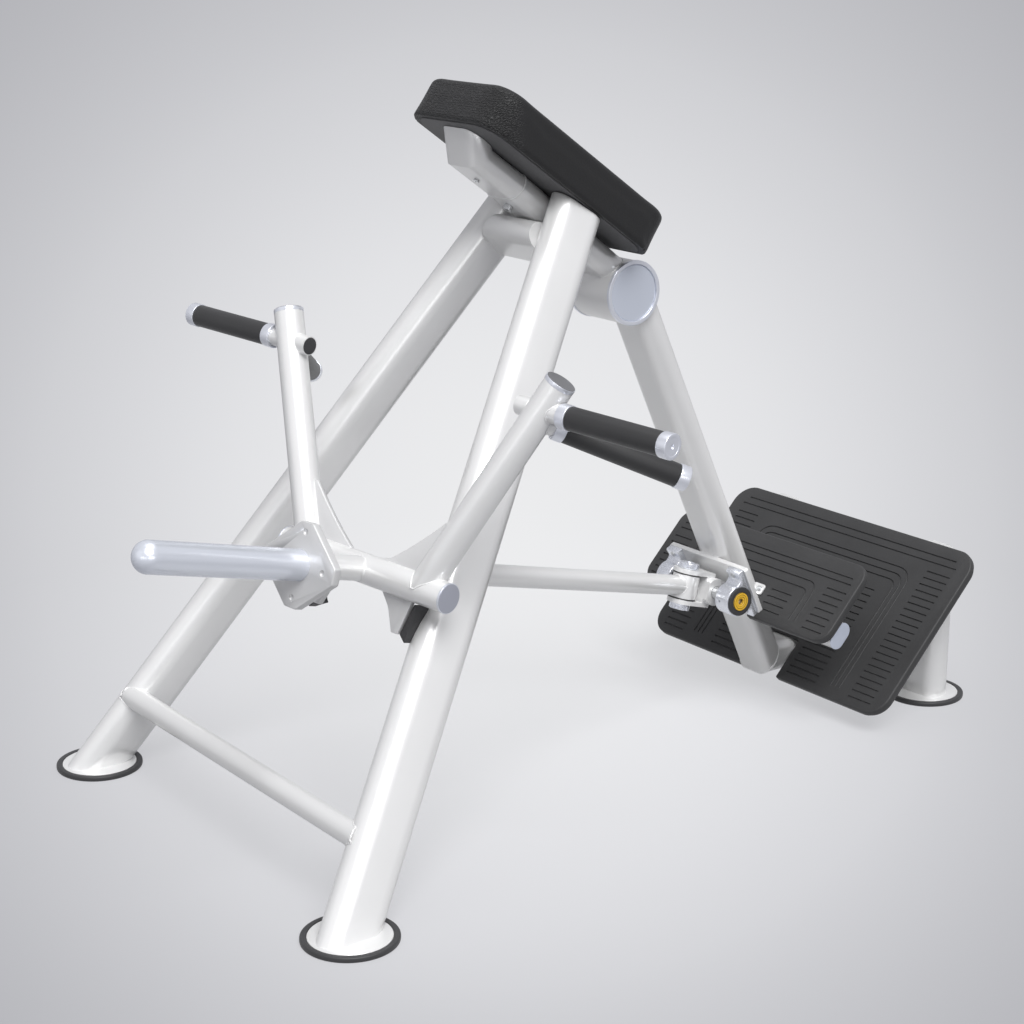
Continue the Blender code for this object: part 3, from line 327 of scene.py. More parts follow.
def shown(mesh: bpy.types.Mesh) -> bpy.types.Object:
    """A temporary object that shows a mesh, for modifiers to work on."""
    draft = bpy.data.objects.new("draft", mesh)
    bpy.context.scene.collection.objects.link(draft)
    return draft


def baked(draft: bpy.types.Object, *helpers: bpy.types.Object) -> bpy.types.Mesh:
    """Plain mesh of an object with its modifiers applied. The object and its helpers are removed.

    Args:
        draft: The object.
        helpers: Objects that only its modifiers read.

    Returns:
        The mesh.
    """
    graph = bpy.context.evaluated_depsgraph_get()
    mesh = bpy.data.meshes.new_from_object(
        draft.evaluated_get(graph), preserve_all_data_layers=True, depsgraph=graph
    )
    for obj in (draft, *helpers):
        bpy.data.objects.remove(obj, do_unlink=True)
    return mesh


class Shape:
    """A closed mesh on its way to becoming a piece."""

    def __init__(self, mesh: bpy.types.Mesh) -> None:
        """Keeps the mesh."""
        self.mesh = mesh

    @classmethod
    def of(cls, bm: bmesh.types.BMesh) -> "Shape":
        """Shape from a bmesh, with its faces turned outwards.

        Args:
            bm: The bmesh, which is freed.

        Returns:
            The shape.
        """
        bmesh.ops.recalc_face_normals(bm, faces=bm.faces)
        mesh = bpy.data.meshes.new("draft")
        bm.to_mesh(mesh)
        bm.free()
        return cls(mesh)

    @classmethod
    def slab(cls, outline: Sequence[Point2], low: float, high: float) -> "Shape":
        """Solid between two heights over an outline.

        Args:
            outline: Corners of the outline.
            low: Lower height.
            high: Upper height.

        Returns:
            The shape.
        """
        bm = bmesh.new()
        floor = [bm.verts.new((x, y, low)) for x, y in outline]
        roof = [bm.verts.new((x, y, high)) for x, y in outline]
        bridge(bm, floor, roof)
        bm.faces.new(floor)
        bm.faces.new(roof)
        return cls.of(bm)

    @classmethod
    def turned(cls, profile: Sequence[Point2], sides: int = 64) -> "Shape":
        """Solid of revolution round Z. Its UV map runs round the axis and along the profile.

        Args:
            profile: Points of radius and height. A ring's profile ends on its first point.
            sides: Steps round the axis.

        Returns:
            The shape.
        """
        bm = bmesh.new()
        uv = bm.loops.layers.uv.new("turning")
        ring = math.dist(profile[0], profile[-1]) < 1e-7
        stations = list(profile[:-1] if ring else profile)
        rows: list[list[bmesh.types.BMVert]] = []
        for radius, height in stations:
            if radius < 1e-7:
                rows.append([bm.verts.new((0.0, 0.0, height))] * sides)
            else:
                rows.append([bm.verts.new((x, y, height)) for x, y in circle(radius, sides)])
        travelled = [0.0]
        for a, b in zip(profile, profile[1:]):
            travelled.append(travelled[-1] + math.dist(a, b))
        count = len(stations)
        for i in range(count if ring else count - 1):
            low, high = rows[i], rows[(i + 1) % count]
            for j in range(sides):
                k = (j + 1) % sides
                corners = [
                    (low[j], j, travelled[i]), (low[k], j + 1, travelled[i]),
                    (high[k], j + 1, travelled[i + 1]), (high[j], j, travelled[i + 1]),
                ]
                used, verts, marks = set(), [], []
                for vert, around, along in corners:
                    if vert not in used:
                        used.add(vert)
                        verts.append(vert)
                        marks.append((around / sides, along))
                if len(verts) < 3:
                    continue
                face = bm.faces.new(verts)
                for loop, mark in zip(face.loops, marks):
                    loop[uv].uv = mark
        return cls.of(bm)

    @classmethod
    def swept(
        cls, path: Sequence[Vector], side: Vector, section: Callable[[float], list[Point2]],
        start: Plane | None = None, end: Plane | None = None, rounding: Point2 = (0.0, 0.0),
    ) -> "Shape":
        """Solid bar along straight runs with mitred bends.

        Args:
            path: Points of the bar's axis.
            side: Direction that the section's first axis leans to.
            section: Gives the section's outline for a growth outwards.
            start: Plane that cuts the first end, if it isn't square.
            end: Plane that cuts the last end, if it isn't square.
            rounding: Radius of the edge at the first and at the last end.

        Returns:
            The shape.
        """
        runs = [(b - a).normalized() for a, b in zip(path, path[1:])]
        first, last = start or (path[0], runs[0]), end or (path[-1], runs[-1])
        stations: list[tuple[int, Plane, float]] = []
        for turn in quarter_turns(rounding[0]):
            depth = rounding[0] * (1 - math.cos(turn))
            stations.append((0, (first[0] + runs[0] * depth, first[1]), rounding[0] * (math.sin(turn) - 1)))
        for i in range(1, len(path) - 1):
            stations.append((i, (path[i], (runs[i - 1] + runs[i]).normalized()), 0.0))
        for turn in reversed(quarter_turns(rounding[1])):
            depth = rounding[1] * (1 - math.cos(turn))
            plane = (last[0] - runs[-1] * depth, last[1])
            stations.append((len(path) - 1, plane, rounding[1] * (math.sin(turn) - 1)))
        bm = bmesh.new()
        rows = []
        for i, plane, growth in stations:
            run = runs[min(i, len(runs) - 1)]
            across = (side - run * run.dot(side)).normalized()
            up = run.cross(across)
            corners = [path[i] + across * x + up * y for x, y in section(growth)]
            rows.append([bm.verts.new(slid(corner, run, plane)) for corner in corners])
        for low, high in zip(rows, rows[1:]):
            bridge(bm, low, high)
        bm.faces.new(rows[0])
        bm.faces.new(rows[-1])
        return cls.of(bm)

    def moved(self, matrix: Matrix) -> "Shape":
        """The same shape, carried by a matrix.

        Args:
            matrix: Where it goes.

        Returns:
            This shape.
        """
        self.mesh.transform(matrix)
        return self

    def joined(self, *others: "Shape") -> "Shape":
        """This shape and others as one mesh of separate shells.

        Args:
            others: The other shapes.

        Returns:
            The joined shape.
        """
        bm = bmesh.new()
        for shape in (self, *others):
            bm.from_mesh(shape.mesh)
        mesh = bpy.data.meshes.new("draft")
        bm.to_mesh(mesh)
        bm.free()
        return Shape(mesh)

    def combined(self, operation: str, *others: "Shape") -> "Shape":
        """This shape with others cut away or welded on.

        Args:
            operation: DIFFERENCE or UNION.
            others: The other shapes.

        Returns:
            The new shape.
        """
        draft = shown(self.mesh)
        helpers = [shown(other.mesh) for other in others]
        for helper in helpers:
            modifier = draft.modifiers.new("boolean", "BOOLEAN")
            modifier.operation = operation
            modifier.solver = "EXACT"
            modifier.object = helper
        return Shape(baked(draft, *helpers))

    def edged(self, width: float, segments: int = 3, angle: float = 32.0) -> "Shape":
        """The same shape with its sharp edges rounded.

        Args:
            width: Width of the rounding.
            segments: Faces across it.
            angle: Edges that turn by more than this, in degrees, are rounded.

        Returns:
            The new shape.
        """
        self.mesh.shade_smooth()
        draft = shown(self.mesh)
        modifier = draft.modifiers.new("bevel", "BEVEL")
        modifier.width = width
        modifier.segments = segments
        modifier.limit_method = "ANGLE"
        modifier.angle_limit = math.radians(angle)
        modifier.use_clamp_overlap = True
        modifier.harden_normals = True
        return Shape(baked(draft))


def bridge(
    bm: bmesh.types.BMesh, low: Sequence[bmesh.types.BMVert], high: Sequence[bmesh.types.BMVert],
) -> None:
    """Joins two rings of as many vertices with quads.

    Args:
        bm: The bmesh.
        low: First ring.
        high: Second ring.
    """
    for i in range(len(low)):
        j = (i + 1) % len(low)
        bm.faces.new((low[i], low[j], high[j], high[i]))


def quarter_turns(radius: float) -> list[float]:
    """Angles of the rings that round an end, or the last of them where there is no rounding."""
    return [math.pi / 2 * i / 4 for i in range(5)] if radius else [math.pi / 2]


@dataclass(frozen=True)
class Bar:
    """Straight tube of round or flat-oval section, by the points of its axis."""

    start: Vector
    end: Vector
    side: Vector
    width: float
    depth: float

    @property
    def run(self) -> Vector:
        """Direction of the axis."""
        return (self.end - self.start).normalized()

    def section(self, growth: float) -> list[Point2]:
        """Outline of the section, grown outwards."""
        return stadium(self.width + 2 * growth, self.depth + 2 * growth)

    def shape(
        self, start: Plane | None = None, end: Plane | None = None, rounding: Point2 = (0.0, 0.0),
    ) -> Shape:
        """Solid of the tube's outer form.

        Args:
            start: Plane that cuts the first end.
            end: Plane that cuts the last end.
            rounding: Edge radius of the two ends.

        Returns:
            The shape.
        """
        return Shape.swept((self.start, self.end), self.side, self.section, start, end, rounding)

    def distance(self, point: Vector) -> float:
        """Distance from the surface to a point, less than zero inside.

        Args:
            point: The point.

        Returns:
            The distance.
        """
        run = self.run
        across = (self.side - run * run.dot(self.side)).normalized()
        offset = point - self.start
        x = abs(offset.dot(across)) - (self.width - self.depth) / 2
        y = offset.dot(run.cross(across))
        return (math.hypot(x, y) if x > 0 else abs(y)) - self.depth / 2

    def seam_on(self, target: "Bar", backwards: bool = False) -> list[Vector]:
        """Closed line where this tube runs into another.

        Args:
            target: The tube that it is welded to.
            backwards: Whether it meets it at its start, not at its end.

        Returns:
            Points of the line.
        """
        run = -self.run if backwards else self.run
        across = (self.side - run * run.dot(self.side)).normalized()
        up = self.run.cross(across)
        base = (self.start + self.end) / 2
        points = []
        for x, y in stadium(self.width, self.depth, 24):
            points.append(marched(base + across * x + up * y, run, target.distance))
        return points

    def seam_at(self, plane: Plane) -> list[Vector]:
        """Closed line where the tube's surface meets a plane.

        Args:
            plane: A point of the plane, and its normal.

        Returns:
            Points of the line.
        """
        run = self.run
        across = (self.side - run * run.dot(self.side)).normalized()
        up = run.cross(across)
        outline = stadium(self.width, self.depth, 24)
        return [slid(self.start + across * x + up * y, run, plane) for x, y in outline]


def marched(point: Vector, run: Vector, distance: Callable[[Vector], float]) -> Vector:
    """Point moved along a direction until it meets a surface, or passes it by at its nearest.

    Args:
        point: The point.
        run: The way it moves.
        distance: Distance from the surface to a point.

    Returns:
        The moved point.
    """
    gap = distance(point)
    for _ in range(60):
        ahead = point + run * gap
        left = distance(ahead)
        if abs(left) > abs(gap):
            break
        point, gap = ahead, left
    return point


class Wiring:
    """Builds the nodes of one material."""

    def __init__(self, name: str) -> None:
        """Starts a material with its Principled shader."""
        self.material = bpy.data.materials.new(name)
        self.material.use_nodes = True
        self.tree = self.material.node_tree
        self.shader = self.tree.nodes["Principled BSDF"]

    def set(self, **values: float | tuple[float, ...]) -> None:
        """Sets constants on the shader's own sockets, underscores standing for spaces."""
        for name, value in values.items():
            self.shader.inputs[name.replace("_", " ")].default_value = value

    def node(self, kind: str, values: dict[str, float] | None = None, **settings: object) -> bpy.types.Node:
        """Adds a node.

        Args:
            kind: Its type without the ShaderNode prefix.
            values: Values of its input sockets, by name.
            settings: Values of its properties.

        Returns:
            The node.
        """
        node = self.tree.nodes.new("ShaderNode" + kind)
        for name, value in settings.items():
            setattr(node, name, value)
        for name, value in (values or {}).items():
            node.inputs[name].default_value = value
        return node

    def join(self, source: bpy.types.NodeSocket, target: bpy.types.NodeSocket) -> None:
        """Links two sockets."""
        self.tree.links.new(source, target)

    def object_point(self, stretch: tuple[float, float, float] = (1.0, 1.0, 1.0)) -> bpy.types.NodeSocket:
        """Object coordinates, scaled along each axis.

        Args:
            stretch: Scale along X, Y and Z.

        Returns:
            The vector socket.
        """
        place = self.node("TexCoord")
        mapping = self.node("Mapping")
        mapping.inputs["Scale"].default_value = stretch
        self.join(place.outputs["Object"], mapping.inputs["Vector"])
        return mapping.outputs["Vector"]

    def turning_point(self, around: float, along: float) -> bpy.types.NodeSocket:
        """The turned piece's own UV map, scaled round the axis and along the profile.

        Args:
            around: Scale round the axis.
            along: Scale along the profile.

        Returns:
            The vector socket.
        """
        uv = self.node("UVMap", uv_map="turning")
        mapping = self.node("Mapping")
        mapping.inputs["Scale"].default_value = (around, along, 1.0)
        self.join(uv.outputs["UV"], mapping.inputs["Vector"])
        return mapping.outputs["Vector"]

    def noise(
        self, vector: bpy.types.NodeSocket, scale: float, detail: float = 3.0, rough: float = 0.55,
    ) -> bpy.types.NodeSocket:
        """Noise value.

        Args:
            vector: Where it is read.
            scale: Scale of the noise.
            detail: Octaves.
            rough: How strong the fine octaves are.

        Returns:
            The value socket.
        """
        values = {"Scale": scale, "Detail": detail, "Roughness": rough}
        node = self.node("TexNoise", values)
        self.join(vector, node.inputs["Vector"])
        return node.outputs["Fac"]

    def cells(self, vector: bpy.types.NodeSocket, scale: float, feature: str = "F1") -> bpy.types.NodeSocket:
        """Voronoi distance.

        Args:
            vector: Where it is read.
            scale: Cells per metre.
            feature: Which distance.

        Returns:
            The value socket.
        """
        node = self.node("TexVoronoi", {"Scale": scale}, feature=feature)
        self.join(vector, node.inputs["Vector"])
        return node.outputs["Distance"]

    def ramp(
        self,
        value: bpy.types.NodeSocket,
        low: Sequence[float],
        high: Sequence[float],
        span: Point2 = (0.3, 0.7),
    ) -> bpy.types.NodeSocket:
        """Colour between two ends, by a value.

        Args:
            value: The value socket.
            low: Colour at the low end.
            high: Colour at the high end.
            span: Values of the two ends.

        Returns:
            The colour socket.
        """
        node = self.node("ValToRGB")
        for element, place, colour in zip(node.color_ramp.elements, span, (low, high)):
            element.position = place
            element.color = (*colour, 1.0)
        self.join(value, node.inputs["Fac"])
        return node.outputs["Color"]

    def range(
        self, value: bpy.types.NodeSocket, low: float, high: float, span: Point2 = (0.3, 0.7),
    ) -> bpy.types.NodeSocket:
        """Number between two ends, by a value.

        Args:
            value: The value socket.
            low: Result at the low end.
            high: Result at the high end.
            span: Values of the two ends.

        Returns:
            The value socket.
        """
        values = {"From Min": span[0], "From Max": span[1], "To Min": low, "To Max": high}
        node = self.node("MapRange", values, clamp=True)
        self.join(value, node.inputs["Value"])
        return node.outputs["Result"]

    def math(
        self, operation: str, a: bpy.types.NodeSocket, b: bpy.types.NodeSocket | float,
    ) -> bpy.types.NodeSocket:
        """Result of a sum on two values.

        Args:
            operation: The Math node's operation.
            a: First value socket.
            b: Second value socket, or a number.

        Returns:
            The value socket.
        """
        node = self.node("Math", operation=operation)
        self.join(a, node.inputs[0])
        if isinstance(b, float):
            node.inputs[1].default_value = b
        else:
            self.join(b, node.inputs[1])
        return node.outputs["Value"]

    def colour(self, socket: bpy.types.NodeSocket) -> None:
        """Drives the base colour."""
        self.join(socket, self.shader.inputs["Base Color"])

    def roughness(self, socket: bpy.types.NodeSocket) -> None:
        """Drives the roughness."""
        self.join(socket, self.shader.inputs["Roughness"])

    def relief(self, layers: Sequence[tuple[bpy.types.NodeSocket, float, float]]) -> None:
        """Drives the normal by bumps on bumps.

        Args:
            layers: Height socket, strength and height in metres of each bump.
        """
        below = None
        for height, strength, distance in layers:
            bump = self.node("Bump", {"Strength": strength, "Distance": distance})
            self.join(height, bump.inputs["Height"])
            if below:
                self.join(below, bump.inputs["Normal"])
            below = bump.outputs["Normal"]
        self.join(below, self.shader.inputs["Normal"])


@dataclass(frozen=True)
class Finish:
    """One surface finish. A subclass says how its nodes look."""

    name: str
    slot: str
    tint: tuple[float, float, float]
    gloss: float
    metal: float = 0.0

    def material(self) -> bpy.types.Material:
        """The finish's material, made on first use."""
        found = bpy.data.materials.get(self.name)
        if found:
            return found
        wiring = Wiring(self.name)
        wiring.set(Metallic=self.metal)
        self.dress(wiring)
        return wiring.material

    def shade(self, factor: float) -> tuple[float, ...]:
        """The tint, darker or lighter."""
        return tuple(min(1.0, part * factor) for part in self.tint)

    def dress(self, wiring: Wiring) -> None:
        """Adds the nodes that make the surface."""
        wiring.colour(
            wiring.ramp(wiring.noise(wiring.object_point(), 40.0), self.shade(0.95), self.shade(1.05))
        )


@dataclass(frozen=True)
class PowderCoat(Finish):
    """Silver powder coat with a smooth satin skin."""

    def dress(self, wiring: Wiring) -> None:
        """Adds a cloudy tone and an uneven gloss."""
        point = wiring.object_point()
        wiring.colour(wiring.ramp(wiring.noise(point, 9.0, 2.0), self.shade(0.985), self.shade(1.015)))
        wiring.roughness(wiring.range(wiring.noise(point, 24.0, 1.0), self.gloss - 0.01, self.gloss + 0.02))
        wiring.set(Coat_Weight=0.08, Coat_Roughness=0.2)


@dataclass(frozen=True)
class TurnedMetal(Finish):
    """Satin metal with fine marks round its own axis."""

    marks: float = 2600.0

    def dress(self, wiring: Wiring) -> None:
        """Adds turning marks from the piece's UV map."""
        point = wiring.turning_point(3.0, self.marks)
        lathe = wiring.noise(point, 1.0, 2.0)
        wiring.colour(wiring.ramp(lathe, self.shade(0.995), self.shade(1.0)))
        wiring.roughness(wiring.range(lathe, self.gloss, self.gloss + 0.01))


@dataclass(frozen=True)
class CastMetal(Finish):
    """Bright casting, lightly blasted."""

    def dress(self, wiring: Wiring) -> None:
        """Adds soft dents and a blasted grain."""
        point = wiring.object_point()
        grain = wiring.noise(point, 1400.0, 3.0)
        wiring.colour(wiring.ramp(wiring.noise(point, 70.0), self.shade(0.96), self.shade(1.03)))
        wiring.roughness(wiring.range(grain, self.gloss - 0.04, self.gloss + 0.05))
        wiring.relief([(wiring.noise(point, 110.0, 1.0), 0.03, 0.0003), (grain, 0.02, 0.0001)])


@dataclass(frozen=True)
class Rubber(Finish):
    """Matt rubber with a fine moulded grain."""

    grain: float = 1500.0
    depth: float = 0.25

    def dress(self, wiring: Wiring) -> None:
        """Adds grain, dusty tone and a slight sheen."""
        point = wiring.object_point()
        skin = wiring.cells(point, self.grain)
        wiring.colour(wiring.ramp(wiring.noise(point, 14.0, 4.0), self.shade(0.90), self.shade(1.14)))
        wiring.roughness(wiring.range(skin, self.gloss - 0.06, self.gloss + 0.06))
        wiring.set(Sheen_Weight=0.06, Sheen_Roughness=0.5)
        wiring.relief([(skin, self.depth, 0.0003)])


@dataclass(frozen=True)
class Leather(Finish):
    """Pebbled upholstery, its grain drawn into short waves across the pad's upper end."""

    wave_from: float = -0.085
    wave_full: float = -0.135

    def dress(self, wiring: Wiring) -> None:
        """Adds pebbles, pores and the waves."""
        point = wiring.object_point()
        pebbles = wiring.cells(point, 620.0, "SMOOTH_F1")
        pores = wiring.noise(point, 2400.0, 2.0)
        waves = wiring.node("TexWave", {"Scale": 80.0, "Distortion": 9.0, "Detail": 2.0, "Detail Scale": 2.4})
        waves.bands_direction = "Z"
        wiring.join(point, waves.inputs["Vector"])
        split = wiring.node("SeparateXYZ")
        wiring.join(point, split.inputs["Vector"])
        mask = wiring.range(split.outputs["Y"], 1.0, 0.0, (self.wave_full, self.wave_from))
        height = wiring.math("MULTIPLY", waves.outputs["Fac"], mask)
        wiring.colour(wiring.ramp(pebbles, self.shade(1.10), self.shade(0.80), (0.1, 0.9)))
        wiring.roughness(wiring.range(pebbles, self.gloss - 0.05, self.gloss + 0.10, (0.1, 0.8)))
        wiring.set(Sheen_Weight=0.04, Sheen_Roughness=0.45, Specular_IOR_Level=0.40)
        wiring.relief([(height, 0.90, 0.0020), (pebbles, 0.42, 0.0007), (pores, 0.12, 0.0002)])


@dataclass(frozen=True)
class MouldedPlastic(Finish):
    """Plastic with plain rings raised round its axis."""

    def dress(self, wiring: Wiring) -> None:
        """Adds rings from the UV map, painted shade in the low bands between them, and a fine grain."""
        uv = wiring.node("UVMap", uv_map="turning")
        split = wiring.node("SeparateXYZ")
        wiring.join(uv.outputs["UV"], split.inputs["Vector"])
        rings = wiring.math("PINGPONG", split.outputs["Y"], 0.0021)
        level = wiring.range(rings, 0.0, 1.0, (0.0004, 0.0012))
        # Colour drops to a fifth in the low bands between the rings: painted shade in the grooves.
        wiring.colour(wiring.ramp(level, self.shade(0.20), self.shade(1.0), (0.0, 0.5)))
        wiring.roughness(
            wiring.range(wiring.noise(wiring.object_point(), 900.0), self.gloss - 0.04, self.gloss + 0.06)
        )
        wiring.relief([(level, 0.5, 0.0004)])


SILVER = PowderCoat("silver_powder_coat", "silver_paint", (0.80, 0.80, 0.80), 0.29, 0.34)
# Darker copy of the silver powder coat for the flange, gussets and wings: painted shade on the same paint.
SILVER_PAINTED_SHADE = PowderCoat("silver_coat_painted_shade", "silver_paint", (0.62, 0.62, 0.625), 0.34, 0.30)
SATIN = TurnedMetal("satin_turned_alloy", "satin_alloy", (0.76, 0.78, 0.84), 0.28, 0.70)
CAST = CastMetal("blasted_casting", "cast_alloy", (0.76, 0.78, 0.83), 0.27, 0.85)
PLATED = CastMetal("zinc_plate", "zinc", (0.60, 0.61, 0.62), 0.28, 0.90)
BRONZE = CastMetal("bearing_bronze", "bronze", (0.55, 0.38, 0.18), 0.35, 0.90)
BLACK = Rubber("black_rubber_skin", "black_rubber", (0.030, 0.030, 0.032), 0.52)
GRIP = Rubber("grip_rubber_skin", "black_rubber", (0.022, 0.022, 0.023), 0.46, 0.0, 1100.0, 0.18)
MAT = Rubber("mat_rubber_skin", "mat_rubber", (0.031, 0.031, 0.032), 0.58, 0.0, 900.0, 0.20)
HIDE = Leather("pebbled_upholstery", "pad_leather", (0.010, 0.010, 0.0105), 0.48)
BOARD = Rubber("painted_board", "board_black", (0.085, 0.085, 0.088), 0.60, 0.0, 700.0, 0.10)
PANEL = Rubber("painted_sheet", "panel_black", (0.040, 0.040, 0.042), 0.45, 0.0, 1300.0, 0.10)
AMBER = MouldedPlastic("amber_cap_plastic", "amber_plastic", (0.80, 0.48, 0.04), 0.38)


def add_piece(
    name: str, shape: Shape, space: Matrix, finish: Finish, body: Body,
    nodes: Sequence[str] = (), crease: float = 35.0,
) -> bpy.types.Object:
    """Makes a finished piece that rides on a body.

    Args:
        name: The piece's name.
        shape: Its shape, in its own space.
        space: Carries that space to the frame's.
        finish: Its finish.
        body: The body that it rides on.
        nodes: Nodes of the frame that it stands for.
        crease: Edges that turn by more than this, in degrees, stay sharp. Zero keeps the shape's own.

    Returns:
        The piece.
    """
    mesh = shape.mesh
    mesh.name = name
    mesh.transform(space)
    if crease:
        mesh.shade_smooth()
        mesh.set_sharp_from_angle(angle=math.radians(crease))
    mesh.materials.clear()
    mesh.materials.append(finish.material())
    piece = bpy.data.objects.new(name, mesh)
    bpy.context.scene.collection.objects.link(piece)
    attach(piece, body.value)
    if nodes:
        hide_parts(*nodes)
    LOG.info("%s: %d faces on %s", name, len(mesh.polygons), body.value)
    return piece


class Growth:
    """A Geometry Nodes tree under construction, with its named inputs."""

    def __init__(self, name: str, inputs: Sequence[tuple[str, str]]) -> None:
        """Starts a tree with a geometry input and the named inputs after it.

        Args:
            name: Name of the tree.
            inputs: Name and kind of each further input.
        """
        self.tree = bpy.data.node_groups.new(name, "GeometryNodeTree")
        self.keys: dict[str, str] = {}
        for label, kind in [("Geometry", "Geometry"), *inputs]:
            socket = self.tree.interface.new_socket(label, in_out="INPUT", socket_type="NodeSocket" + kind)
            self.keys[label] = socket.identifier
        self.tree.interface.new_socket("Geometry", in_out="OUTPUT", socket_type="NodeSocketGeometry")
        self.inputs = self.tree.nodes.new("NodeGroupInput")
        self.result = self.tree.nodes.new("NodeGroupOutput")

    def node(self, kind: str, **settings: object) -> bpy.types.Node:
        """Adds a node and sets its properties."""
        node = self.tree.nodes.new(kind)
        for name, value in settings.items():
            setattr(node, name, value)
        return node

    def join(self, source: bpy.types.NodeSocket, target: bpy.types.NodeSocket) -> None:
        """Links two sockets."""
        self.tree.links.new(source, target)

    def chain(self, *nodes: bpy.types.Node) -> None:
        """Links each node's first output to the next one's first input."""
        for a, b in zip(nodes, nodes[1:]):
            self.join(a.outputs[0], b.inputs[0])

    def finished(self, source: bpy.types.NodeSocket) -> None:
        """Ends the tree with Realize Instances and Set Material."""
        real = self.node("GeometryNodeRealizeInstances")
        paint = self.node("GeometryNodeSetMaterial")
        self.join(source, real.inputs[0])
        self.chain(real, paint, self.result)
        self.join(self.inputs.outputs["Finish"], paint.inputs["Material"])

    def applied(self, mesh: bpy.types.Mesh, values: dict[str, object], *helpers: bpy.types.Object) -> Shape:
        """Runs the tree on a mesh.

        Args:
            mesh: The mesh it starts from.
            values: Values of the named inputs.
            helpers: Objects that the inputs name, removed afterwards.

        Returns:
            The plain result.
        """
        draft = shown(mesh)
        modifier = draft.modifiers.new("growth", "NODES")
        modifier.node_group = self.tree
        for label, value in values.items():
            modifier[self.keys[label]] = value
        draft.update_tag()
        return Shape(baked(draft, *helpers))


def bead_tree() -> Growth:
    """Tree that lays a rippled weld bead along the edges of a mesh."""
    growth = Growth("weld_bead", [("Radius", "Float"), ("Pitch", "Float"), ("Finish", "Material")])
    source = growth.inputs.outputs
    line = growth.node("GeometryNodeMeshToCurve")
    even = growth.node("GeometryNodeResampleCurve", mode="LENGTH")
    growth.join(source["Geometry"], line.inputs[0])
    growth.chain(line, even)
    growth.join(source["Pitch"], even.inputs["Length"])
    ring = growth.node("GeometryNodeCurvePrimitiveCircle", mode="RADIUS")
    ring.inputs["Resolution"].default_value = 10
    growth.join(source["Radius"], ring.inputs["Radius"])
    core = growth.node("GeometryNodeCurveToMesh")
    growth.join(even.outputs[0], core.inputs["Curve"])
    growth.join(ring.outputs[0], core.inputs["Profile Curve"])
    ripple = growth.node("GeometryNodeMeshIcoSphere")
    ripple.inputs["Subdivisions"].default_value = 2
    growth.join(source["Radius"], ripple.inputs["Radius"])
    wander = growth.node("FunctionNodeRandomValue", data_type="FLOAT")
    wander.inputs[2].default_value = 1.06
    wander.inputs[3].default_value = 1.22
    wander.inputs["Seed"].default_value = 7
    spread = growth.node("GeometryNodeInstanceOnPoints")
    growth.join(even.outputs[0], spread.inputs["Points"])
    growth.join(ripple.outputs[0], spread.inputs["Instance"])
    growth.join(wander.outputs[1], spread.inputs["Scale"])
    both = growth.node("GeometryNodeJoinGeometry")
    growth.join(core.outputs[0], both.inputs[0])
    growth.join(spread.outputs[0], both.inputs[0])
    growth.finished(both.outputs[0])
    return growth


def groove_tree() -> Growth:
    """Tree that presses round-bottomed grooves with round ends into a mat."""
    growth = Growth("mat_grooves", [("Lines", "Object"), ("Radius", "Float"), ("Finish", "Material")])
    source = growth.inputs.outputs
    lines = growth.node("GeometryNodeObjectInfo", transform_space="ORIGINAL")
    growth.join(source["Lines"], lines.inputs["Object"])
    line = growth.node("GeometryNodeMeshToCurve")
    growth.join(lines.outputs["Geometry"], line.inputs[0])
    ring = growth.node("GeometryNodeCurvePrimitiveCircle", mode="RADIUS")
    ring.inputs["Resolution"].default_value = 12
    growth.join(source["Radius"], ring.inputs["Radius"])
    cutter = growth.node("GeometryNodeCurveToMesh")
    cutter.inputs["Fill Caps"].default_value = True
    growth.join(line.outputs[0], cutter.inputs["Curve"])
    growth.join(ring.outputs[0], cutter.inputs["Profile Curve"])
    cut = growth.node("GeometryNodeMeshBoolean", operation="DIFFERENCE", solver="EXACT")
    growth.join(source["Geometry"], cut.inputs["Mesh 1"])
    growth.join(cutter.outputs[0], cut.inputs["Mesh 2"])
    growth.finished(cut.outputs[0])
    return growth


def fastener_tree() -> Growth:
    """Tree that sets a head on each point, turned to the point's aim."""
    growth = Growth("fasteners", [("Head", "Object"), ("Finish", "Material")])
    source = growth.inputs.outputs
    head = growth.node("GeometryNodeObjectInfo", transform_space="ORIGINAL")
    growth.join(source["Head"], head.inputs["Object"])
    aim_at = growth.node("GeometryNodeInputNamedAttribute", data_type="FLOAT_VECTOR")
    aim_at.inputs["Name"].default_value = "aim"
    turn = growth.node("FunctionNodeAlignRotationToVector", axis="Z")
    growth.join(aim_at.outputs[0], turn.inputs["Vector"])
    spread = growth.node("GeometryNodeInstanceOnPoints")
    growth.join(source["Geometry"], spread.inputs["Points"])
    growth.join(head.outputs["Geometry"], spread.inputs["Instance"])
    growth.join(turn.outputs[0], spread.inputs["Rotation"])
    growth.finished(spread.outputs[0])
    return growth


class HeadKind(Enum):
    """Sorts of bolt head on the machine."""

    HEX = "hex"
    SOCKET = "socket"
    SCREW = "screw"


@dataclass(frozen=True)
class Head:
    """One bolt head: its sort, radius and height."""

    kind: HeadKind
    radius: float
    height: float

    def shape(self) -> Shape:
        """Head that stands on the origin and points along Z."""
        if self.kind is HeadKind.HEX:
            washer = Shape.turned(filleted_ring(self.radius * 1.18, 0.0, self.height * 0.22, 0.0003), 40)
            crown = Shape.slab(circle(self.radius, 6), self.height * 0.2, self.height).edged(0.0004, 2)
            stub = Shape.turned([
                (0.0, 0.0),
                (self.radius * 0.55, 0.0),
                (self.radius * 0.55, self.height * 1.28),
                (0.0, self.height * 1.32),
            ], 24)
            return washer.joined(crown, stub)
        body = Shape.turned(filleted_ring(self.radius, 0.0, self.height, 0.0006), 40)
        depth = self.height * (0.55 if self.kind is HeadKind.SOCKET else 0.35)
        recess = Shape.slab(circle(self.radius * 0.5, 6), self.height - depth, 2 * self.height)
        return body.combined("DIFFERENCE", recess)


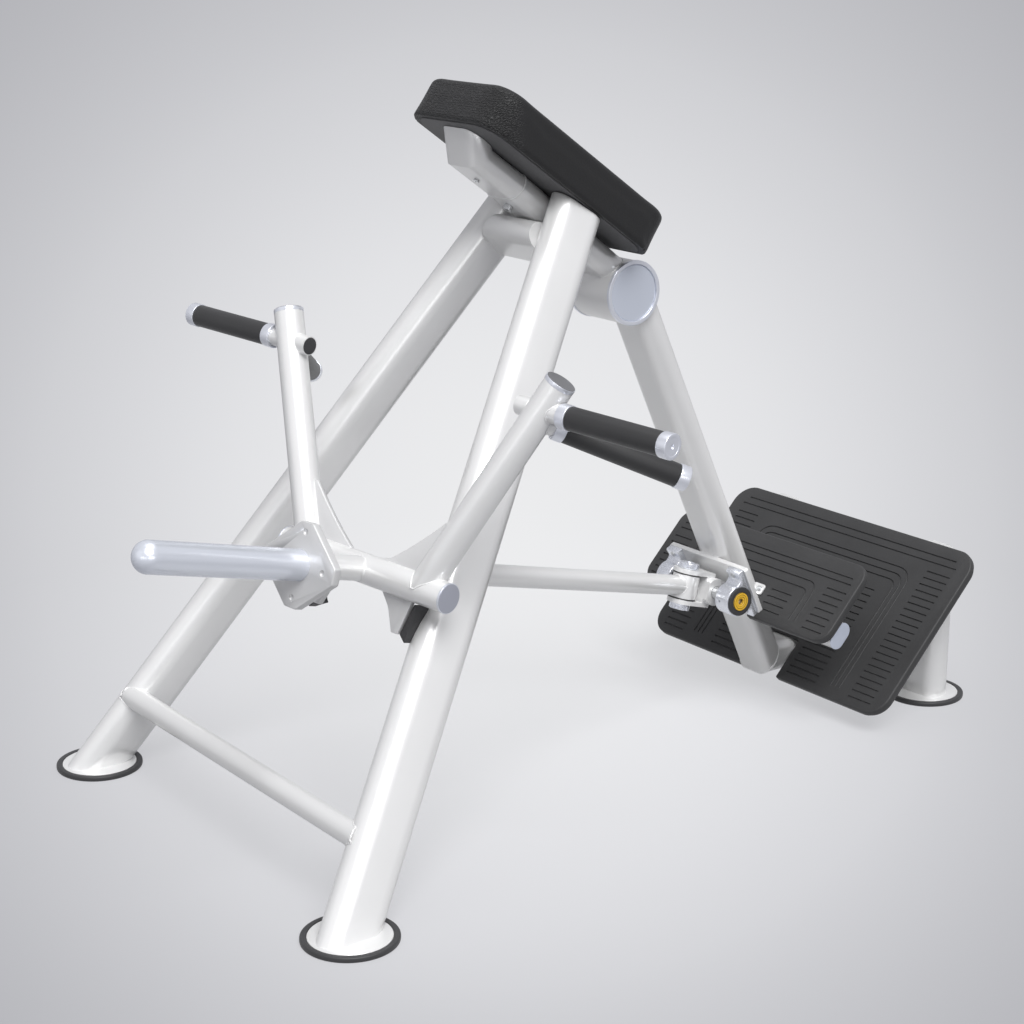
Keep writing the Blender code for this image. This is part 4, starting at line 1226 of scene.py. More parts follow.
def filleted_ring(radius: float, low: float, high: float, lip: float) -> list[Point2]:
    """Profile of a disc with a rounded upper edge.

    Args:
        radius: Its radius.
        low: Height of its underside.
        high: Height of its top.
        lip: Radius of the rounded edge.

    Returns:
        The profile.
    """
    return filleted([(0.0, low), (radius, low), (radius, high), (0.0, high)], lip, closed=False)


class Fasteners:
    """Collects the places of bolt heads and sets them in one go."""

    def __init__(self, head: Head) -> None:
        """Keeps the sort of head."""
        self.head = head
        self.places: list[tuple[Vector, Vector]] = []

    def at(self, point: Vector, direction: Vector) -> None:
        """Adds a place, the head pointing along the direction."""
        self.places.append((point, direction.normalized()))

    def add(self, name: str, space: Matrix, body: Body, nodes: Sequence[str] = ()) -> None:
        """Makes the piece.

        Args:
            name: Its name.
            space: Carries the places to the frame's space.
            body: The body it rides on.
            nodes: Nodes it stands for.
        """
        mesh = bpy.data.meshes.new(name)
        mesh.from_pydata([place for place, _ in self.places], [], [])
        aims = mesh.attributes.new("aim", "FLOAT_VECTOR", "POINT")
        for datum, (_, direction) in zip(aims.data, self.places):
            datum.vector = direction
        head = shown(self.head.shape().mesh)
        head.hide_render = True
        shape = FASTENER_TREE.applied(mesh, {"Head": head, "Finish": PLATED.material()}, head)
        add_piece(name, shape, space, PLATED, body, nodes)


class Welds:
    """Collects seam lines and lays a bead along each."""

    def __init__(self) -> None:
        """Starts with no seam."""
        self.lines: list[tuple[list[Vector], bool]] = []

    def seam(self, points: Sequence[Vector], closed: bool = True) -> None:
        """Adds a line of points, closed into a ring or open."""
        self.lines.append((list(points), closed))

    def add(self, name: str, space: Matrix, body: Body, radius: float = 0.0013) -> None:
        """Makes the piece.

        Args:
            name: Its name.
            space: Carries the lines to the frame's space.
            body: The body it rides on.
            radius: Radius of the bead.
        """
        verts: list[Vector] = []
        edges: list[tuple[int, int]] = []
        for points, closed in self.lines:
            first, count = len(verts), len(points)
            verts += points
            edges += [(first + i, first + i + 1) for i in range(count - 1)]
            if closed:
                edges.append((first + count - 1, first))
        mesh = bpy.data.meshes.new(name)
        mesh.from_pydata(verts, edges, [])
        values = {"Radius": radius, "Pitch": radius * 1.1, "Finish": SILVER.material()}
        add_piece(name, BEAD_TREE.applied(mesh, values), space, SILVER, body)


BEAD_TREE = bead_tree()
GROOVE_TREE = groove_tree()
FASTENER_TREE = fastener_tree()


@dataclass
class Feet:
    """Round rubber feet and the steel discs that stand in them."""

    radius: float = 0.0795
    height: float = 0.0095
    rim: float = 0.0110
    floor: float = 0.0030
    front_x: float = 0.4360
    rear: Point2 = (0.2200, 1.5210)

    def build(self) -> None:
        """Makes the four feet."""
        inner = self.radius - self.rim
        rubber = filleted([
            (0.0, 0.0), (self.radius, 0.0), (self.radius, self.height), (inner, self.height),
            (inner, self.floor), (0.0, self.floor),
        ], 0.0035, closed=False, steps=6)
        disc = filleted_ring(inner - PLAN.gap, self.floor + PLAN.gap, PLAN.disc_top, 0.0012)
        for name, side in SIDES:
            for end, x, y in (("front", self.front_x, 0.0), ("rear", *self.rear)):
                place = PLAN.row @ Matrix.Translation((side * x, y, 0.0))
                node = f"foot_rubber_{end}_{name}"
                add_piece(
                    f"rubber_foot_{end}_{name}", Shape.turned(rubber, 96), place, BLACK, Body.FRAME, [node],
                )
                add_piece(f"foot_disc_{end}_{name}", Shape.turned(disc, 96), place, SILVER, Body.FRAME)


@dataclass
class FrontFrame:
    """Splayed legs, the low tube between them and the tube between their tops."""

    leg_start: Point2 = (0.4373, -0.0063)
    lean_in: float = 0.3384
    lean_back: float = 0.6903
    top_clear: float = 0.0015
    stabiliser: tuple[float, float, float] = (0.0500, 0.1410, 0.0207)
    bend_ahead: float = 0.0365
    cross_behind: float = 0.0960

    def leg(self, side: int) -> Bar:
        """Outer form of a leg, from the floor to above the pad's seat."""
        def at(height: float) -> Vector:
            x = self.leg_start[0] - self.lean_in * height
            return Vector((side * x, self.leg_start[1] + self.lean_back * height, height))
        return Bar(at(0.0), at(PLAN.pad_seat.z), Y, PLAN.tube_width, PLAN.tube_depth)

    def build(self, welds: Welds) -> None:
        """Makes the legs and the two tubes between them.

        Args:
            welds: Takes the seams.
        """
        floor = (Vector((0.0, 0.0, PLAN.disc_top - 0.001)), Z)
        roof = (PLAN.pad_seat - PLAN.pad_normal * self.top_clear, PLAN.pad_normal)
        for name, side in SIDES:
            leg = self.leg(side)
            node = "front_leg_" + name
            shape = leg.shape(floor, roof, (0.0, 0.0035))
            add_piece("leg_tube_" + name, shape, PLAN.row, SILVER, Body.FRAME, [node])
        y, z, radius = self.stabiliser
        half = self.leg_start[0] - self.lean_in * z
        low = Bar(Vector((-half, y, z)), Vector((half, y, z)), Z, 2 * radius, 2 * radius)
        add_piece("low_tube", low.shape(), PLAN.row, SILVER, Body.FRAME, ["stabiliser_tube"])
        bend = PLAN.pad_seat - PLAN.pad_down * self.bend_ahead - PLAN.pad_normal * (
            PLAN.gap + PLAN.beam_depth / 2
        )
        middle = bend + PLAN.beam_down * self.cross_behind - PLAN.beam_normal * (PLAN.beam_depth + PLAN.gap)
        half = self.leg_start[0] - self.lean_in * middle.z
        top = Bar(middle - X * half, middle + X * half, PLAN.beam_down, PLAN.tube_width, PLAN.beam_depth)
        shape = top.shape(self.inner_face(-1), self.inner_face(1))
        add_piece("upper_tube", shape, PLAN.row, SILVER, Body.FRAME, ["top_cross_tube"])
        for side in (1, -1):
            welds.seam(low.seam_on(self.leg(side), backwards=side < 0))

    def inner_face(self, side: int) -> Plane:
        """Plane just inside a leg's inner flat face.

        Args:
            side: 1 on the right, -1 on the left.

        Returns:
            A point of the plane, and its normal.
        """
        leg = self.leg(side)
        inward = leg.run.cross((Y - leg.run * leg.run.y).normalized())
        inward *= math.copysign(1.0, -side * inward.x)
        return leg.start + inward * (PLAN.tube_depth / 2 - 0.001), inward


@dataclass
class PadBeam:
    """Beam under the pad, with its up-turned nose and the bend behind it, and its two bolts."""

    nose_turn: float = math.radians(47)
    nose_ahead: float = 0.1425
    bend_ahead: float = 0.0365
    bolts: Point2 = (0.0970, 0.0265)
    rear_angle: float = math.radians(37.0)
    hub_radius: float = 0.0585

    def build(self, welds: Welds) -> None:
        """Makes the beam and its bolts.

        Args:
            welds: Takes the seams.
        """
        depth = PLAN.beam_depth
        down, up = PLAN.pad_down, PLAN.pad_normal
        under = PLAN.pad_seat - down * self.nose_ahead - up * (PLAN.gap + depth)
        nose = -down * math.cos(self.nose_turn) + up * math.sin(self.nose_turn)
        corner = under + up * depth / 2 + down * math.tan(self.nose_turn / 2) * depth / 2
        bend = PLAN.pad_seat - down * self.bend_ahead - up * (PLAN.gap + depth / 2)
        run = Vector((0.0, math.cos(self.rear_angle), -math.sin(self.rear_angle)))
        square = Vector((0.0, -run.z, run.y))
        reach = (PLAN.hub - bend).dot(run) - self.hub_radius / 2
        path = (corner + nose * depth, corner, bend, bend + run * reach)
        section = Bar(path[2], path[3], X, PLAN.tube_width, depth)
        shape = Shape.swept(path, X, section.section, (PLAN.pad_seat - up * PLAN.gap, up), None, (0.002, 0.0))
        add_piece("beam_tube", shape, PLAN.row, SILVER, Body.FRAME, ["pad_beam"])
        hub = Bar(PLAN.hub - X, PLAN.hub + X, Y, 2 * self.hub_radius, 2 * self.hub_radius)
        welds.seam(section.seam_on(hub))
        welds.seam(section.seam_at((bend, (down + run).normalized())))
        front = Fasteners(Head(HeadKind.SCREW, 0.0055, 0.0030))
        front.at(PLAN.pad_seat - down * self.bolts[0] - up * (depth + 2 * PLAN.gap), -up)
        front.add("beam_screw", PLAN.row, Body.FRAME, ["pad_bolt_front"])
        rear = Fasteners(Head(HeadKind.SOCKET, 0.0085, 0.0085))
        rear.at(bend + run * self.bolts[1] - square * (depth / 2 + PLAN.gap), -square)
        rear.add("beam_socket_bolt", PLAN.row, Body.FRAME, ["pad_bolt_rear"])


HUB_DISC = TurnedMetal("hub_disc_alloy", "satin_alloy", (0.66, 0.70, 0.79), 0.42, 0.45, 1200.0)


@dataclass
class Hub:
    """Large round tube behind the pad, with a disc cap in each end."""

    radius: float = 0.0585
    half: float = 0.0540
    proud: float = 0.0070
    rim: float = 0.0075
    recess: float = 0.0026
    lip: float = 0.0015
    plug: float = 0.0120

    def build(self) -> None:
        """Makes the tube and its caps."""
        tube = Bar(PLAN.hub - X * self.half, PLAN.hub + X * self.half, Y, 2 * self.radius, 2 * self.radius)
        section = lambda growth: circle(self.radius + growth, 96)
        shape = Shape.swept((tube.start, tube.end), Y, section)
        add_piece("hub_barrel", shape, PLAN.row, SILVER, Body.FRAME, ["hub_tube"])
        outer, floor = self.radius + self.lip, self.proud - self.recess
        inner = outer - self.rim
        profile = filleted([
            (0.0, -self.plug), (self.radius - 0.006, -self.plug), (self.radius - 0.006, PLAN.gap),
            (outer, PLAN.gap), (outer, self.proud), (inner, self.proud), (inner - 0.0004, floor - 0.0014),
            (0.0, floor - 0.0014),
        ], 0.0014, closed=False, steps=5)
        disc = filleted_ring(inner - 0.0016, -self.plug, floor, 0.0008)
        for name, side in SIDES:
            place = PLAN.row @ aim(PLAN.hub + X * side * self.half, X * side, Y)
            add_piece(
                "hub_rim_" + name, Shape.turned(profile, 96), place, SATIN, Body.FRAME, ["hub_cap_" + name],
            )
            add_piece("hub_disc_" + name, Shape.turned(disc, 96), place, HUB_DISC, Body.FRAME)


@dataclass
class RearFrame:
    """Rear column with its tabs, the base rail, the cross member and the posts."""

    top_below_hub: float = 0.0250
    member_radius: float = 0.0280
    rear: Point2 = (0.2200, 1.5210)
    plate_depth: float = 0.0206
    hub_radius: float = 0.0585
    rail_z: float = 0.0750
    step_rise: float = 0.1650
    tab: tuple[float, float, float] = (0.0300, 0.0230, 0.0040)
    tab_at: Point2 = (0.0440, 0.2755)

    @property
    def column(self) -> Bar:
        """Outer form of the column."""
        low = PLAN.column_point(self.rail_z)
        return Bar(
            low, PLAN.column_point(PLAN.hub.z - self.top_below_hub), X, PLAN.tube_width, PLAN.tube_depth,
        )

    def build(self, welds: Welds) -> None:
        """Makes the column, rail, member, posts and tabs.

        Args:
            welds: Takes the seams.
        """
        column = self.column
        rear = Vector((0.0, self.rear[1], self.rail_z))
        shape = Shape.swept((column.end, column.start, rear), X, column.section)
        add_piece("column_and_rail", shape, PLAN.row, SILVER, Body.FRAME, ["rear_column", "base_rail"])
        mitre = (column.start, (Y - PLAN.column_up).normalized())
        welds.seam(column.seam_at(mitre))
        hub = Bar(PLAN.hub - X, PLAN.hub + X, Y, 2 * self.hub_radius, 2 * self.hub_radius)
        welds.seam(column.seam_on(hub))
        ends = (rear - X * self.rear[0], rear + X * self.rear[0])
        member = Bar(*ends, Z, 2 * self.member_radius, 2 * self.member_radius)
        add_piece("cross_member", member.shape(), PLAN.row, SILVER, Body.FRAME)
        roof = (PLAN.slope_point(0.0, -self.plate_depth), PLAN.slope_normal)
        for name, side in SIDES:
            foot = Vector((side * self.rear[0], self.rear[1], PLAN.disc_top - 0.001))
            post = Bar(foot, foot + Z * 0.4, X, PLAN.tube_width, PLAN.tube_depth)
            add_piece(
                "post_" + name, post.shape(None, roof), PLAN.row, SILVER, Body.FRAME, ["rear_post_" + name],
            )
        self.build_tabs()

    def build_tabs(self) -> None:
        """Makes the two tabs on the small step and their bolts."""
        length, width, thickness = self.tab
        aside, down = self.tab_at
        bolts = Fasteners(Head(HeadKind.HEX, 0.0055, 0.0040))
        tabs = []
        for _, side in SIDES:
            centre = PLAN.slope_point(down, self.step_rise + PLAN.gap) + X * side * aside
            place = axes(centre, X, -PLAN.slope_down, PLAN.slope_normal)
            outline = rounded_rectangle(length, width, 0.004)
            tabs.append(Shape.slab(outline, 0.0, thickness).edged(0.0006, 2).moved(place))
            bolts.at(centre + X * side * 0.005 + PLAN.slope_normal * thickness, PLAN.slope_normal)
        add_piece("step_tabs", tabs[0].joined(tabs[1]), PLAN.row, SILVER, Body.FRAME, crease=0.0)
        bolts.add("tab_bolts", PLAN.row, Body.FRAME)


@dataclass
class FootPlate:
    """Rubber mat with pressed grooves, on its steel panel."""

    name: str
    width: float
    length: float
    corner: float
    slot: float
    thickness: float = 0.0150
    panel: float = 0.0050
    panel_inset: float = 0.0040
    slot_half: float = 0.0540
    groove: float = 0.0019

    def outline(self, inset: float) -> list[Point2]:
        """Outline with the column's slot in its lower edge.

        Args:
            inset: Distance that it is drawn in.

        Returns:
            The points.
        """
        x, y = self.width / 2 - inset, self.length / 2 - inset
        radius, half = self.corner - inset, self.slot_half + inset
        top, turn = self.slot - self.length / 2 + inset, 0.006
        points = arc((x - radius, -y + radius), radius, -math.pi / 2, 0.0, 12)
        points += arc((x - radius, y - radius), radius, 0.0, math.pi / 2, 12)
        points += arc((-x + radius, y - radius), radius, math.pi / 2, math.pi, 12)
        points += arc((-x + radius, -y + radius), radius, math.pi, 1.5 * math.pi, 12)
        points += [(-half, -y)] + arc((-half + turn, top - turn), turn, math.pi, math.pi / 2, 5)
        return points + arc((half - turn, top - turn), turn, math.pi / 2, 0.0, 5) + [(half, -y)]

    def line(self, points: Sequence[Point2], radius: float = 0.0) -> list[Point2]:
        """Groove line from points measured from the middle and down from the top edge.

        Args:
            points: The corners.
            radius: Radius of its bends.

        Returns:
            The line in the plate's own space.
        """
        local = [(x, self.length / 2 - down) for x, down in points]
        return filleted(local, radius, closed=False, steps=8) if radius else local

    def build(self, place: Matrix, lines: Sequence[list[Point2]]) -> None:
        """Makes the mat and the panel.

        Args:
            place: Carries the plate's space, its upper face at zero, to the frame's.
            lines: The groove lines.
        """
        mat = Shape.slab(self.outline(0.0), -self.thickness, 0.0).edged(0.0030, 4)
        bm = bmesh.new()
        for points in lines:
            verts = [bm.verts.new((x, y, -0.0005)) for x, y in points]
            for a, b in zip(verts, verts[1:]):
                bm.edges.new((a, b))
        paths = bpy.data.meshes.new("groove_lines")
        bm.to_mesh(paths)
        bm.free()
        helper = shown(paths)
        values = {"Lines": helper, "Radius": self.groove, "Finish": MAT.material()}
        grooved = GROOVE_TREE.applied(mat.mesh, values, helper)
        add_piece(
            self.name + "_grooved_mat", grooved, place, MAT, Body.FRAME, [self.name + "_mat"], crease=30.0,
        )
        roof = -self.thickness - PLAN.gap
        sheet = Shape.slab(self.outline(self.panel_inset), roof - self.panel, roof).edged(0.0008, 2)
        add_piece(self.name + "_sheet", sheet, place, PANEL, Body.FRAME, [self.name + "_panel"], crease=0.0)


@dataclass
class Platform:
    """Large foot plate, small step and the arms under the step."""

    step_rise: float = 0.1650
    step_down: float = 0.1580
    arm: tuple[float, float, float, float] = (0.0550, 0.0350, 0.1380, 0.2620)
    cap: float = 0.0030

    def mirrored(self, plate: FootPlate, points: Sequence[Point2], radius: float = 0.0) -> list[list[Point2]]:
        """A groove line and its mirror image.

        Args:
            plate: The plate.
            points: Its corners.
            radius: Radius of its bends.

        Returns:
            The two lines.
        """
        return [plate.line([(side * x, down) for x, down in points], radius) for side in (1, -1)]

    def build(self) -> None:
        """Makes both plates and the arms."""
        clear = 0.002
        depth = 0.0150 + 0.0050 + PLAN.gap
        edge = PLAN.slope_point(0.3840, -depth)
        rail_top = PLAN.rail_z + PLAN.tube_depth / 2 + clear
        slot = (rail_top - edge.z) / -PLAN.slope_down.z
        large = FootPlate("platform", 0.6780, 0.3840, 0.0450, slot)
        lines = [large.line([(-0.298, 0.027), (0.298, 0.027)]), large.line([(-0.307, 0.043), (0.307, 0.043)])]
        for x, top, radius in ((0.216, 0.074, 0.040), (0.204, 0.0895, 0.030), (0.192, 0.105, 0.022)):
            lines.append(large.line([(-x, 0.356), (-x, top), (x, top), (x, 0.356)], radius))
        for i in range(21):
            down = 0.064 + 0.015 * i
            lines += self.mirrored(large, [(0.246, down), (0.306, down)])
            if 0.137 < down < 0.37:
                lines += self.mirrored(large, [(0.073, down), (0.155, down)])
        large.build(PLAN.row @ self.plate_place(0.3840 / 2, 0.0), lines)

        edge = PLAN.slope_point(self.step_down + 0.1780, self.step_rise)
        back = PLAN.column_point(PLAN.hub.z) - PLAN.column_front * (PLAN.tube_depth / 2 + clear)
        slot = (back - edge).dot(PLAN.column_front) / (-PLAN.slope_down).dot(PLAN.column_front)
        small = FootPlate("step", 0.5360, 0.1780, 0.0320, slot)
        lines = [
            small.line([(-0.245, 0.033), (0.245, 0.033)]), small.line([(-0.249, 0.0465), (0.249, 0.0465)]),
        ]
        for x, top, radius in ((0.174, 0.0655, 0.026), (0.159, 0.084, 0.017)):
            lines.append(small.line([(-x, 0.155), (-x, top), (x, top), (x, 0.155)], radius))
        for i in range(7):
            lines += self.mirrored(small, [(0.199, 0.067 + 0.0155 * i), (0.251, 0.067 + 0.0155 * i)])
        for i in range(4):
            lines += self.mirrored(small, [(0.074, 0.1075 + 0.0155 * i), (0.130, 0.1075 + 0.0155 * i)])
        small.build(PLAN.row @ self.plate_place(self.step_down + 0.1780 / 2, self.step_rise), lines)
        self.build_arms(depth)

    def plate_place(self, down: float, rise: float) -> Matrix:
        """Place of a plate's middle."""
        return axes(PLAN.slope_point(down, rise), X, -PLAN.slope_down, PLAN.slope_normal)

    def build_arms(self, depth: float) -> None:
        """Makes the arms that carry the step, with their end plates.

        Args:
            depth: Thickness of mat and panel.
        """
        width, height, down, reach = self.arm
        centre = PLAN.slope_point(self.step_down + down, self.step_rise - depth - PLAN.gap - height / 2)
        for name, side in SIDES:
            arm = Bar(centre, centre + X * side * (reach - self.cap), PLAN.slope_down, width, height)
            add_piece("step_carrier_" + name, arm.shape(), PLAN.row, SILVER, Body.FRAME, ["step_arm_" + name])
            plate = Shape.slab(stadium(width + 0.001, height + 0.001), 0.0, self.cap).edged(0.0008, 2)
            place = PLAN.row @ aim(arm.end, X * side, PLAN.slope_down)
            add_piece("step_carrier_cap_" + name, plate, place, CAST_CAP, Body.FRAME, crease=0.0)


CAST_CAP = CastMetal("satin_cap", "satin_alloy", (0.62, 0.67, 0.78), 0.32, 0.60)


@dataclass
class Bearings:
    """Bearing plate on the column, and the two pillow blocks that carry the axle."""

    plate: tuple[float, float, float] = (0.2240, 0.1060, 0.0060)
    block_width: float = 0.0360
    outer: float = 0.1070
    radius: float = 0.0310
    ear: float = 0.0130
    ear_root: float = 0.0330
    bore: float = 0.0250
    seal: Point2 = (0.0285, 0.0050)
    cover: Point2 = (0.0180, 0.0060)
    cover_hole: float = 0.0060
    bolt_span: float = 0.0440

    def side_view(self) -> list[Point2]:
        """Outline of a block seen along the axle, its base along the first axis."""
        base, half = -PLAN.axle_standoff + PLAN.gap, self.plate[1] / 2
        step = base + self.ear
        waist = math.radians(-16)
        head = arc((0.0, 0.0), self.radius, waist, math.pi - waist, 40)
        neck = head[0]
        points = filleted(
            [(-half, base), (half, base), (half, step), (half - 0.004, step + 0.001)], 0.002, False,
        )
        hollow = filleted(
            [(half - 0.004, step + 0.001), (self.ear_root + 0.002, step - 0.002), neck], 0.016, False, 8,
        )
        points += hollow[1:-1] + head
        points += [(-x, y) for x, y in reversed(hollow[1:-1])]
        return points + [(-half + 0.004, step + 0.001), (-half, step)]

    def build(self, welds: Welds) -> None:
        """Makes the plate, blocks, seals, covers and bolts.

        Args:
            welds: Takes the seam round the plate.
        """
        seat = PLAN.axle - PLAN.column_front * PLAN.axle_standoff
        width, height, corner = self.plate
        outline = rounded_rectangle(width, height, corner, 5)
        place = axes(seat, X, PLAN.column_up, PLAN.column_front)
        plate = Shape.slab(outline, -PLAN.bearing_plate, 0.0).edged(0.0014)
        add_piece("bearing_base", plate, PLAN.row @ place, SILVER, Body.FRAME, ["bearing_plate"], crease=0.0)
        for end in (-1, 1):
            edge = [Vector((x, end * height / 2, -PLAN.bearing_plate)) for x in (-0.024, 0.024)]
            welds.seam([place @ point for point in edge], closed=False)
        bolts = Fasteners(Head(HeadKind.SCREW, 0.0060, 0.0014))
        for name, side in SIDES:
            face = PLAN.axle + X * side * self.outer
            self.build_block(name, side, face)
            middle = seat + X * side * (
                self.outer - self.block_width / 2
            ) + PLAN.column_front * (self.ear + 2 * PLAN.gap)
            for end in (-1, 1):
                bolts.at(middle + PLAN.column_up * end * self.bolt_span, PLAN.column_front)
        nodes = [f"block_bolt_{end}_{name}" for end in ("upper", "lower") for name, _ in SIDES]
        bolts.add("block_nuts", PLAN.row, Body.FRAME, nodes)

    def build_block(self, name: str, side: int, face: Vector) -> None:
        """Makes one block with its seal and cover.

        Args:
            name: Its side's name.
            side: 1 on the right, -1 on the left.
            face: Middle of its outer face.
        """
        outline = [(x, y * side) for x, y in self.side_view()]
        shape = Shape.slab(outline, -self.block_width, 0.0)
        bore = Shape.turned([(0.0, -0.1), (self.bore, -0.1), (self.bore, 0.1), (0.0, 0.1)], 64)
        grub = Shape.turned([(0.0, 0.0), (0.0021, 0.0), (0.0021, 0.06), (0.0, 0.06)], 24)
        aside = (PLAN.column_front * side).normalized()
        grub.moved(aim(Vector((0.004, 0.0, -self.block_width * 0.62)), Vector((0.30, side * 1.0, 0.0)), Z))
        shape = shape.edged(0.0022, 3).combined("DIFFERENCE", bore, grub)
        place = PLAN.row @ axes(face, PLAN.column_up, aside, X * side)
        add_piece("block_casting_" + name, shape, place, CAST, Body.FRAME, ["pillow_block_" + name])
        flat = PLAN.row @ aim(face, X * side, PLAN.column_up)
        radius, high = self.seal
        inner = self.cover[0] + PLAN.gap
        ring = [(inner, -0.020), (self.bore - 0.0003, -0.020), (self.bore - 0.0003, 0.0004), (radius, 0.0004)]
        ring += [(radius, high), (inner + 0.001, high), (inner, high - 0.001), (inner, -0.020)]
        seal = Shape.turned(filleted(ring[:-1], 0.0010) + [filleted(ring[:-1], 0.0010)[0]], 72)
        add_piece("seal_ring_" + name, seal, flat, BLACK, Body.FRAME, ["bearing_" + name])
        radius, high = self.cover
        cap = filleted([
            (self.cover_hole, 0.001), (radius, 0.001), (radius, high), (self.cover_hole + 0.004, high),
            (self.cover_hole + 0.003, high - 0.001), (self.cover_hole, high - 0.001),
        ], 0.0006)
        add_piece(
            "cover_" + name,
            Shape.turned(cap + cap[:1], 64),
            flat,
            AMBER,
            Body.FRAME,
            ["bearing_cover_" + name],
        )


@dataclass
class Yoke:
    """Yoke on the axle, with its kingpin, nut and washers."""

    width: float = 0.0560
    ear: float = 0.0085
    web_clear: float = 0.0030
    barrel: Point2 = (0.0270, 0.0400)
    sleeve: Point2 = (0.0265, 0.0470)
    washer: Point2 = (0.0275, 0.0020)
    pin: float = 0.0100
    head: Point2 = (0.0205, 0.0120)

    def build(self) -> None:
        """Makes the yoke and what is on the kingpin."""
        across = aim(Vector(), X, Z)
        half, reach = self.width / 2, PLAN.yoke_reach
        inner = self.sleeve[1] / 2 + self.washer[1] + 2 * PLAN.gap
        height = inner + self.ear
        plan = arc((0.0, -reach), half, math.pi, math.tau, 40) + [(half, 0.0), (-half, 0.0)]
        shape = Shape.slab(plan, -height, height)
        barrel = Shape.turned([
            (0.0, -self.barrel[1]),
            (self.barrel[0], -self.barrel[1]),
            (self.barrel[0], self.barrel[1]),
            (0.0, self.barrel[1]),
        ], 72)
        shape = shape.combined("UNION", barrel.moved(across))
        web = reach - self.sleeve[0] - self.web_clear
        wide, deep = self.width, 2 * reach
        mouth = Shape.slab([(-wide, -deep), (wide, -deep), (wide, -web), (-wide, -web)], -inner, inner)
        bore = Shape.turned([(0.0, -0.2), (0.0128, -0.2), (0.0128, 0.2), (0.0, 0.2)], 48).moved(across)
        hole = Shape.turned(
            [(0.0, -0.2), (self.pin + PLAN.gap, -0.2), (self.pin + PLAN.gap, 0.2), (0.0, 0.2)], 48,
        )
        hole.moved(Matrix.Translation((0.0, -reach, 0.0)))
        shape = shape.combined("DIFFERENCE", mouth, hole, bore).edged(0.0012, 2, 40.0)
        add_piece("yoke_forging", shape, PLAN.pitch, SILVER, Body.YOKE, ["yoke"], crease=0.0)
        self.build_pin(height + PLAN.gap)

    def build_pin(self, top: float) -> None:
        """Makes the kingpin, its nut and the washers.

        Args:
            top: Height of the seat of head and nut over the kingpin's middle.
        """
        radius, tall = self.head
        place = PLAN.pitch @ Matrix.Translation((0.0, -PLAN.yoke_reach, 0.0))
        upside_down = place @ Matrix.Rotation(math.pi, 4, "X")
        shank = Shape.turned([(0.0, -top), (self.pin, -top), (self.pin, top), (0.0, top)], 48)
        profile = filleted([
            (0.0, top), (radius, top), (radius, top + tall), (radius * 0.46, top + tall),
            (radius * 0.44, top + tall * 0.72), (0.0, top + tall * 0.72),
        ], 0.0012, closed=False)
        notches = [
            Shape.slab(circle(0.0040, 20), top + tall * 0.30, top + 2 * tall).moved(
                Matrix.Translation((x, y, 0.0)))
            for x, y in circle(radius * 1.02, 6)
        ]
        head = Shape.turned(profile, 72).combined("DIFFERENCE", *notches)
        nut = Shape(head.mesh.copy())
        add_piece("kingpin_head", shank.joined(head), place, CAST, Body.YOKE, ["kingpin"])
        add_piece("kingpin_castle_nut", nut, upside_down, CAST, Body.YOKE, ["kingpin_nut"])
        low = self.sleeve[1] / 2 + PLAN.gap
        ring = filleted([
            (self.pin + PLAN.gap, low), (self.washer[0], low), (self.washer[0], low + self.washer[1]),
            (self.pin + PLAN.gap, low + self.washer[1]),
        ], 0.0005)
        for name, where in (("upper", place), ("lower", upside_down)):
            washer = Shape.turned(ring + ring[:1], 64)
            add_piece("wear_washer_" + name, washer, where, BLACK, Body.YOKE, ["thrust_washer_" + name])


